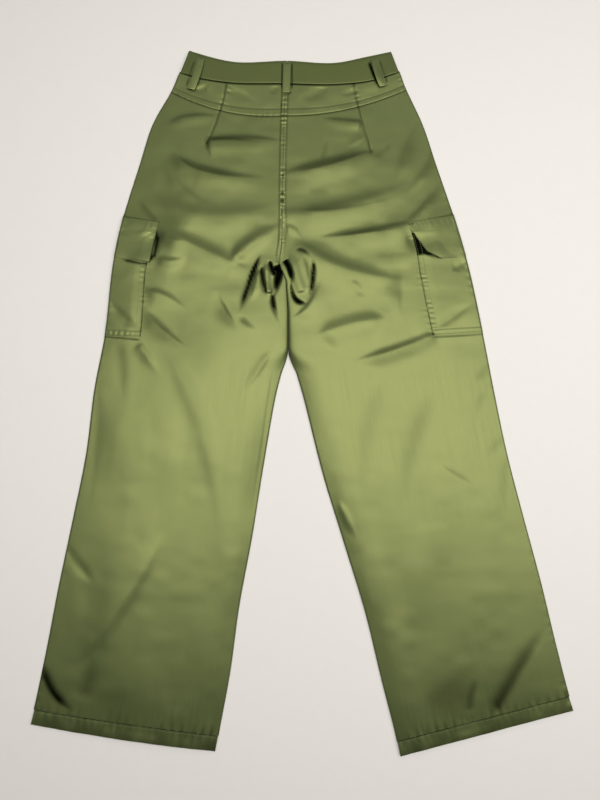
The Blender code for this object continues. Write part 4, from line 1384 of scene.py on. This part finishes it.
@dataclass
class CargoPocket:
    """Patch pocket and flap that wrap round the outseam."""

    leg: Leg
    flap_edge: tuple[tuple[float, float], ...]
    under_width: float = 0.095
    mouth: float = 0.020
    pocket_cloth: float = 0.0007
    flap_cloth: float = 0.0013
    flap_lift: float = 0.0030
    flap_drop: float = 0.0035
    flap_skew: float = 0.0040
    flap_band: float = 1.0

    @property
    def pattern(self) -> LegPattern:
        """The half that this pocket sits on."""
        return self.leg.pattern

    @property
    def folds(self) -> tuple[Crease, ...]:
        """Creases of the pocket itself."""
        return POCKET_FOLDS[self.pattern.side]

    def top(self, down: Array, distance: Array) -> Array:
        """Upper side of the pocket: the back surface, raised by its own cloth, with its folds and gathers.

        Args:
            down: distance along the leg.
            distance: distance from the outseam.
        Returns:
            Points (x, y, z).
        """
        down, distance = spread(down, distance)
        points = self.pattern.back(down, distance / self.pattern.width(down))
        edge = np.interp(down, POCKET_SPAN, self.pattern.pocket_width)
        inset = edge - distance
        low = self.pattern.down_of("pocket_low") - down
        gathers = pucker(inset - 0.0045, down, 0.0040, 0.0078, 0.00034, self.pattern.seed + 41)
        gathers = gathers + pucker(low - 0.004, distance, 0.0040, 0.0092, 0.00026, self.pattern.seed + 42)
        crown = 0.0012 * smooth_step(0.0, 0.02, inset) * smooth_step(0.0, 0.03, low)
        gathers = gathers - 0.0004 * bell(low - POCKET_STITCH, 0.0009)
        points[..., 2] += 0.0011 + gathers + crown
        plan = self.pattern.plan(down, distance / self.pattern.width(down))
        points[..., 2] += total_relief(self.folds, plan, 0)[..., 0]
        mouth_down = self.pattern.down_of("flap_top") + self.mouth
        gape = bell(down - mouth_down, 0.008) * smooth_step(0.02, 0.045, distance)
        points[..., 2] += 0.0012 * gape
        return points

    def pocket_shade(self, down: Array, distance: Array) -> Array:
        """Painted shade on the pocket: in the hollow of its mouth beside the flap, along its inner and lower
        edges and lower stitching, and inside its folds.
        """
        plan = self.pattern.plan(down, distance / self.pattern.width(down))
        low = self.pattern.down_of("pocket_low") - down
        inset = np.interp(down, POCKET_SPAN, self.pattern.pocket_width) - distance
        uneven = 0.75 + 0.35 * soft_noise(down, distance, 0.006, self.pattern.seed + 61)
        total = 0.85 * uneven * bell(inset, 0.0012) + 0.5 * uneven * bell(low, 0.0009)
        total = total + 0.35 * bell(low - POCKET_STITCH, 0.0008)
        beyond = smooth_step(-0.0010, 0.0004, distance - self.flap_inner(down))
        rows = smooth_step(0.010, 0.018, down - self.pattern.down_of("flap_top"))
        rows = rows * smooth_step(0.002, 0.009, self.pattern.down_of("flap_low") - down)
        total = total + 1.4 * beyond * rows
        return np.clip(total + total_relief(self.folds, plan, 0)[..., 3], 0, 1)

    def flap_inner(self, down: Array) -> Array:
        """Distance from the outseam to the flap's inner edge, from its table of (share down, distance)."""
        top, low = self.pattern.down_of("flap_top"), self.pattern.down_of("flap_low")
        share = (np.asarray(down, float) - top) / (low - top)
        return np.interp(share, [row[0] for row in self.flap_edge], [row[1] for row in self.flap_edge])

    def flap(self, down: Array, distance: Array) -> Array:
        """Upper side of the flap: it leaves the panel at its top seam and stands off at its free corner."""
        down, distance = spread(down, distance)
        width = self.pattern.width(down)
        top, low = self.pattern.down_of("flap_top"), self.pattern.down_of("flap_low")
        share = np.clip((down - top) / (low - top), 0, 1)
        lower = down + share * (self.flap_drop + self.flap_skew * distance / 0.055)
        points = self.pattern.back(lower, distance / width)
        bed = self.pattern.back(lower, np.clip(distance, 0.004, 0.040) / width)
        free = smooth_step(0.015, 0.060, distance) * smooth_step(0.45, 1.0, share)
        points[..., 2] = points[..., 2] * 0.35 + bed[..., 2] * 0.65
        points[..., 2] += 0.0017 + 0.0006 * smooth_step(0.0, 0.3, share) + self.flap_lift * free
        points[..., 2] -= self.flap_band * 0.0001 * bell(down - top - 0.0250 + 0.14 * distance, 0.0040)
        points[..., 2] += 0.0005 * soft_noise(distance, down, 0.022, self.pattern.seed + 51)
        points[..., 2] += pucker(down - top - 0.007, distance, 0.005, 0.0085, 0.0002, self.pattern.seed + 52)
        return points

    def flap_shade(self, down: Array, distance: Array) -> Array:
        """Painted shade on the flap: along the lower edge of its stitched top band and along its top, lower
        and inner edges.
        """
        top = self.pattern.down_of("flap_top")
        low = self.pattern.down_of("flap_low")
        band = bell(down - top - 0.0255 + 0.14 * distance, 0.0030)
        shade = self.flap_band * 0.45 * band * smooth_step(0.0, 0.03, distance)
        shade = shade + 0.60 * bell(down - top, 0.0010) + 0.45 * bell(low - down, 0.0009)
        return shade + 0.50 * bell(self.flap_inner(down) - distance, 0.0009)

    def wrapped(self, name: str, above: Array, down: Array, cloth: float, lift: float,
                material: Material, shade: Array) -> Piece:
        """Carry the rows of an upper side round the outseam and under the front.

        Args:
            name: object name.
            above: (rows, columns, 3) upper side, from its inner edge to the outseam.
            down: row positions.
            cloth: wall.
            lift: height of the under side off the surface below.
            material: its cloth.
            shade: (rows, columns) painted shade of the upper side.
        Returns:
            The new piece.
        """
        pattern = self.pattern
        out = pattern.outward(down)
        distance = np.linspace(0.0, self.under_width, 36)
        rows, columns = np.meshgrid(down, distance, indexing="ij")
        plan = pattern.plan(rows, columns / pattern.width(rows))
        below = np.concatenate([plan, np.full(plan.shape[:2] + (1,), lift)], axis=-1)
        radius = (above[:, -1, 2] - lift) / 2
        pull = np.maximum(radius - cloth - 0.0004, 0)[:, None]
        above, below = above.copy(), below.copy()
        from_edge = np.linalg.norm(above[..., :2] - above[:, -1:, :2], axis=-1)
        above[..., :2] -= out[:, None] * (pull * np.exp(-from_edge / 0.009))[..., None]
        below[..., :2] -= out[:, None] * (pull * np.exp(-distance / 0.009))[..., None]
        points = np.concatenate([above, edge_arc(above[:, -1], below[:, 0], out), below], axis=1)
        rest = np.zeros((len(down), points.shape[1] - above.shape[1]))
        shade = np.concatenate([shade, rest], axis=1)
        uv = np.stack(np.broadcast_arrays(run_length(points), down[:, None]), axis=-1)
        return shell(name, points, uv, cloth, material, not self.leg.flip, shade=shade)

    def build_pocket(self) -> Piece:
        """Pocket body with double stitching down its side and along its bottom."""
        pattern = self.pattern
        label = pattern.side.label
        down = graded([(pattern.down_of("flap_top") + self.mouth, 1.5), (0.36, 1.0), (0.435, 1.2),
                       (pattern.down_of("pocket_low"), 2.2)], 110)
        share = graded([(0.0, 3.0), (0.12, 1.4), (0.9, 1.2), (1.0, 3.0)], 56)
        edge = np.interp(down, POCKET_SPAN, pattern.pocket_width)
        distance = edge[:, None] * (1 - share[None, :])
        rows = np.repeat(down[:, None], len(share), axis=1)
        piece = self.wrapped(f"cargo_pocket_{label}_cloth", self.top(rows, distance), down, self.pocket_cloth,
                             0.0001, self.leg.finishes.panel, self.pocket_shade(rows, distance))
        wear(piece, (f"cargo_pocket_{label}",))
        lines = []
        for inset in (0.0018, POCKET_STITCH):
            side_down = np.linspace(down[0] + 0.003, down[-1] - inset, 120)
            side_edge = np.interp(side_down, POCKET_SPAN, pattern.pocket_width)
            lines.append(surface_line(self.top, side_down, side_edge - inset))
            low_distance = np.linspace(0.003, pattern.pocket_width[1] - inset, 70)
            lines.append(surface_line(self.top, down[-1] - inset, low_distance))
        wear(stitches(f"pocket_stitches_{label}", lines, self.leg.finishes.thread))
        return piece

    def build_flap(self) -> Piece:
        """Flap with stitching round its top, side and bottom."""
        pattern = self.pattern
        label = pattern.side.label
        top, low = pattern.down_of("flap_top"), pattern.down_of("flap_low")
        down = graded([(top, 2.0), (top + 0.01, 1.0), (low - 0.006, 1.0), (low, 2.0)], 60)
        share = graded([(0.0, 2.5), (0.1, 1.2), (0.9, 1.2), (1.0, 3.0)], 50)
        distance = self.flap_inner(down)[:, None] * (1 - share[None, :])
        rows = np.repeat(down[:, None], len(share), axis=1)
        piece = self.wrapped(f"cargo_flap_{label}_cloth", self.flap(rows, distance), down, self.flap_cloth,
                             0.0001, self.leg.finishes.trim, self.flap_shade(rows, distance))
        wear(piece, (f"cargo_flap_{label}",))
        lines = []
        for inset in (0.0022, 0.0085):
            at_top = np.linspace(0.003, self.flap_inner(np.array([top + inset]))[0] - 0.002, 70)
            lines.append(surface_line(self.flap, top + inset, at_top))
        for inset in (0.0024, 0.0080):
            low_down = low - inset
            at_low = np.linspace(0.003, self.flap_inner(np.array([low_down]))[0] - inset, 60)
            lines.append(surface_line(self.flap, low_down, at_low))
            side_down = np.linspace(top + 0.010, low_down, 70)
            lines.append(surface_line(self.flap, side_down, self.flap_inner(side_down) - inset))
        wear(stitches(f"flap_stitches_{label}", lines, self.leg.finishes.thread))
        return piece

    def build(self) -> None:
        """Build pocket and flap."""
        self.build_pocket()
        self.build_flap()


# ---- Waist ----

@dataclass(frozen=True)
class LoopPlace:
    """Ends of one belt loop, how far its middle stands off and how much its left edge lifts."""

    name: str
    top: tuple[float, float]
    foot: tuple[float, float]
    arch: float
    twist: float
    bend: float = 0.0


@dataclass
class Waist:
    """Waistband, belt loops, fly placket and button."""

    patterns: tuple[LegPattern, LegPattern]
    finishes: Finishes
    band_cloth: float = 0.0014
    band_low: float = 0.0026
    band_height: float = 0.036
    fly_share: float = 0.48
    loop_width: float = 0.0122
    loop_cloth: float = 0.0010
    back_loops: tuple[LoopPlace, ...] = (
        LoopPlace("belt_loop_back_left", (-0.1630, 0.5330), (-0.1790, 0.4765), 0.0024, 0.0, 0.0016),
        LoopPlace("belt_loop_back_centre", (-0.0240, 0.5235), (-0.0258, 0.4705), 0.0016, 0.0),
        LoopPlace("belt_loop_back_right", (0.1165, 0.5310), (0.1310, 0.4815), 0.0030, 0.0022, -0.0010),
    )
    front_loops: tuple[LoopPlace, ...] = (
        LoopPlace("belt_loop_front_left", (-0.112, 0.520), (-0.116, 0.474), 0.0, 0.0),
        LoopPlace("belt_loop_front_right", (0.066, 0.519), (0.070, 0.472), 0.0, 0.0),
    )
    button_radius: float = 0.0085
    button_height: float = 0.0022
    button_offset: float = 0.016

    def band_top(self, share: Array, high: Array) -> Array:
        """Upper side of the back of the band: the waist's rise with rounded edges and a soft ripple.

        Args:
            share: 0 at the left corner to 1 at the right corner.
            high: 0 on the lower edge to 1 on the upper edge.
        Returns:
            Points (x, y, z).
        """
        share, high = spread(share, high)
        plan = band_plan(share, high)
        rise = waist_rise(plan[..., 0])
        crown = 0.0008 * np.sqrt(np.clip(1 - np.abs(2 * high - 1) ** 14, 0, 1))
        ripple = 0.0005 * soft_noise(plan[..., 0], plan[..., 1] * 0.4, 0.030, 61)
        corner = np.clip(np.minimum(share, 1 - share) / 0.03, 0, 1)
        thick = self.band_cloth * 2 + 0.0006
        z = self.band_low + thick + rise + (crown + ripple) * corner
        return draw_in(np.concatenate([plan, z[..., None]], axis=-1))

    def build_band(self) -> Piece:
        """Waistband: one strip from the fly round the back and on to the fly again."""
        high = graded([(0.0, 3.0), (0.12, 1.0), (0.88, 1.0), (1.0, 3.0)], 26)
        inner = graded([(0.006, 2.0), (0.05, 1.2), (0.95, 1.2), (0.994, 2.0)], 230)
        rows, columns = np.meshgrid(high, inner, indexing="ij")
        above = self.band_top(columns, rows)
        left_share = np.linspace(inner[0], self.fly_share - 0.001, 50)
        right_share = np.linspace(self.fly_share + 0.001, inner[-1], 50)
        under = []
        for share in (left_share, right_share):
            under_rows, under_columns = np.meshgrid(high, share, indexing="ij")
            plan = band_plan(under_columns, under_rows)
            under.append(np.concatenate([plan, np.full(plan.shape[:2] + (1,), self.band_low)], axis=-1))
        first = edge_arc(above[:, 0], under[0][:, 0], unit(above[:, 0, :2] - above[:, 2, :2]))
        last = edge_arc(above[:, -1], under[1][:, -1], unit(above[:, -1, :2] - above[:, -3, :2]))
        points = np.concatenate([under[0][:, ::-1], first[:, ::-1], above, last, under[1][:, ::-1]], axis=1)
        girth = run_length(points[:1])
        uv = np.stack(np.broadcast_arrays(high[:, None] * self.band_height, girth), axis=-1)
        # Painted shadow of the belt loops on the back of the band
        shade = np.zeros(points.shape[:2])
        first_back = under[0].shape[1] + first.shape[1]
        shade[:, first_back:first_back + len(inner)] = loop_shadow(band_plan(columns, rows))
        piece = shell("waistband_cloth", points, uv, self.band_cloth, self.finishes.band, True, shade=shade)
        wear(piece, ("waistband",))
        return piece

    def loop_surface(self, place: LoopPlace, base: float) -> Surface:
        """Upper side of a belt loop as a function of (share along, share across from -1 to 1).

        The middle line runs straight from end to end, bends sideways and arches up; across, the strip has
        a flat middle, rounded sides and a lift on one side.
        """
        top, foot = np.array(place.top), np.array(place.foot)
        run = foot - top
        aside = np.array([-run[1], run[0]]) / np.hypot(*run)

        def surface(along: Array, across: Array) -> Array:
            """Point at each (along, across)."""
            along, across = spread(along, across)
            bow = np.sin(np.pi * np.clip(along, 0, 1))
            shift = across * self.loop_width / 2 + place.bend * bow
            plan = top + along[..., None] * run + shift[..., None] * aside
            sides = 0.0007 * (1 - np.abs(across) ** 5) - 0.0003 * bell(np.abs(across) - 0.62, 0.12)
            height = base + place.arch * bow**0.7 + sides + place.twist * bow * np.clip(-across, -1, 1)
            over_edge = -0.0022 * smooth_step(0.08, 0.0, along) if place.arch else along * 0
            return draw_in(np.concatenate([plan, (height + over_edge)[..., None]], axis=-1))

        return surface

    def build_loops(self) -> None:
        """Belt loops; the back ones get two rows of stitching and a bar tack near their foot."""
        lines = []
        for place in self.back_loops + self.front_loops:
            on_back = place in self.back_loops
            middle = np.array([(place.top[0] + place.foot[0]) / 2])
            base = self.band_low + self.band_cloth * 2 + 0.0024 + waist_rise(middle)[0] if on_back else 0.0012
            surface = self.loop_surface(place, float(base))
            along = np.linspace(0, 1, 64)
            across = graded([(-1.0, 3.0), (-0.7, 1.4), (0.7, 1.4), (1.0, 3.0)], 22)
            rows, columns = np.meshgrid(along, across, indexing="ij")
            points = surface(rows, columns)
            uv = np.stack([columns * self.loop_width / 2, rows * 0.05], axis=-1)
            piece = shell(f"{place.name}_cloth", points, uv, self.loop_cloth, self.finishes.trim, False)
            wear(piece, (place.name,))
            if on_back:
                for side in (-0.62, 0.62):
                    lines.append(surface_line(surface, np.linspace(0.03, 0.97, 60), side, 0.002))
                for end in (0.945, 0.965):
                    lines.append(surface_line(surface, end, np.linspace(-0.8, 0.8, 20), 0.002))
        wear(stitches("loop_stitches", lines, self.finishes.thread, pitch=0.0030, length=0.0023))

    def build_fly(self) -> Piece:
        """Placket behind the front opening: a flat strip that crosses the centre."""
        left, right = self.patterns
        down = np.linspace(0.022, 0.150, 60)
        parts = []
        for pattern, order in ((left, 1), (right, -1)):
            share = np.linspace(0.93, 1.0, 12)[::order]
            rows, columns = np.meshgrid(down, share, indexing="ij")
            plan = pattern.plan(rows, columns)
            height = pattern.front_height(rows, columns) + 0.0009
            parts.append(np.concatenate([plan, height[..., None]], axis=-1))
        points = np.concatenate(parts, axis=1)
        uv = points[..., :2]
        piece = shell("fly_placket_cloth", points, uv, 0.0005, self.finishes.trim, False)
        wear(piece, ("fly_placket",))
        return piece

    def build_button(self) -> Piece:
        """Four-hole button: a turned profile with a raised rim, face down.

        The profile is carried round its axis.
        """
        middle = band_plan(np.array([self.fly_share]), np.array([0.5]))[0]
        radius = np.array([0.0, 0.25, 0.5, 0.68, 0.76, 0.88, 0.96, 1.0, 0.97, 0.7, 0.35, 0.0])
        radius *= self.button_radius
        level = np.array([0.22, 0.22, 0.22, 0.22, 0.08, 0.0, 0.08, 0.4, 0.85, 1.0, 1.0, 1.0])
        level *= self.button_height
        angle = np.linspace(0, 2 * math.pi, 72, endpoint=False)
        ring, turn = np.meshgrid(np.arange(len(radius)), angle, indexing="ij")
        x, y = radius[ring] * np.cos(turn), radius[ring] * np.sin(turn)
        points = np.stack([x + middle[0] + self.button_offset, y + middle[1], level[ring]], axis=-1)
        quads = np.roll(grid_quads(*points.shape[:2], True)[1], -1, axis=1)
        flat = points.reshape(-1, 3)
        piece = put_mesh("waist_button_resin", flat, quads, flat[:, :2], self.finishes.button)
        return wear(piece, ("waist_button",))

    def build(self) -> None:
        """Build every piece of the waist."""
        self.build_band()
        self.build_loops()
        self.build_fly()
        self.build_button()


# ---- Studio ----

@dataclass(frozen=True)
class Lamp:
    """Rectangular soft lamp that shines down, leaning by `lean` degrees about X."""

    name: str
    place: tuple[float, float, float]
    lean: float
    size: tuple[float, float]
    power: float

    def build(self) -> None:
        """Put the lamp in the scene."""
        data = bpy.data.lights.new(self.name, "AREA")
        data.shape = "RECTANGLE"
        data.size, data.size_y = self.size
        data.energy = self.power
        lamp = bpy.data.objects.new(self.name, data)
        lamp.location = self.place
        lamp.rotation_euler = (math.radians(self.lean), 0.0, 0.0)
        bpy.context.scene.collection.objects.link(lamp)


@dataclass
class Studio:
    """Pale surface, soft overhead light and the camera."""

    camera_place: tuple[float, float, float] = (*EYE, EYE_HEIGHT)
    camera_lean: float = 6.0
    lens: float = 27.0
    lamps: tuple[Lamp, ...] = (
        Lamp("overhead", (0.68, 0.11, 1.70), 0.0, (3.6, 1.1), 64.5),
        Lamp("far_side", (0.2, 1.9, 1.7), -48.0, (3.0, 0.9), 9.5),
    )
    sky: float = 0.09
    floor_size: float = 4.0
    floor_level: float = -0.0002

    def build_floor(self) -> None:
        """Pale plane just under the cloth."""
        size, level = self.floor_size, self.floor_level
        corners = ((-size, -size), (size, -size), (size, size), (-size, size))
        points = np.array([(x, y, level) for x, y in corners])
        quads = np.array([[0, 1, 2, 3]])
        floor = put_mesh("pale_floor", points, quads, points[:, :2], FLOOR_FINISH.material())

    def build_light(self) -> None:
        """A soft lamp overhead, a broad weak one beyond the waist and an even pale sky."""
        for lamp in self.lamps:
            lamp.build()
        world = bpy.data.worlds.new("pale_sky")
        world.use_nodes = True
        background = world.node_tree.nodes["Background"]
        background.inputs["Color"].default_value = (1.0, 0.985, 0.96, 1.0)
        background.inputs["Strength"].default_value = self.sky
        bpy.context.scene.world = world

    def build_camera(self) -> None:
        """Camera above the knees that leans a little towards the waist."""
        data = bpy.data.cameras.new("camera")
        data.lens = self.lens
        data.sensor_width = 36.0
        data.clip_start = 0.01
        camera = bpy.data.objects.new("camera", data)
        camera.location = self.camera_place
        camera.rotation_euler = (math.radians(self.camera_lean), 0.0, 0.0)
        bpy.context.scene.collection.objects.link(camera)
        bpy.context.scene.camera = camera

    def build(self) -> None:
        """Build the whole set."""
        self.build_camera()
        self.build_floor()
        self.build_light()
        bpy.context.scene.view_settings.view_transform = "Standard"


def main() -> None:
    """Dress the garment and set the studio."""
    logging.basicConfig(level=logging.INFO, format="%(name)s %(message)s")
    Studio().build()
    finishes = Finishes()
    legs = [Leg(pattern, finishes) for pattern in leg_patterns()]
    for leg in legs:
        leg.build()
    CargoPocket(legs[0], ((0.0, 0.0575), (0.3, 0.0575), (1.0, 0.0570))).build()
    CargoPocket(legs[1], ((0.0, 0.0755), (0.2, 0.0725), (0.80, 0.0580), (1.0, 0.0390)),
                flap_skew=0.0, flap_band=0.0).build()
    Waist(leg_patterns(), finishes).build()


if __name__ == "__main__":
    main()
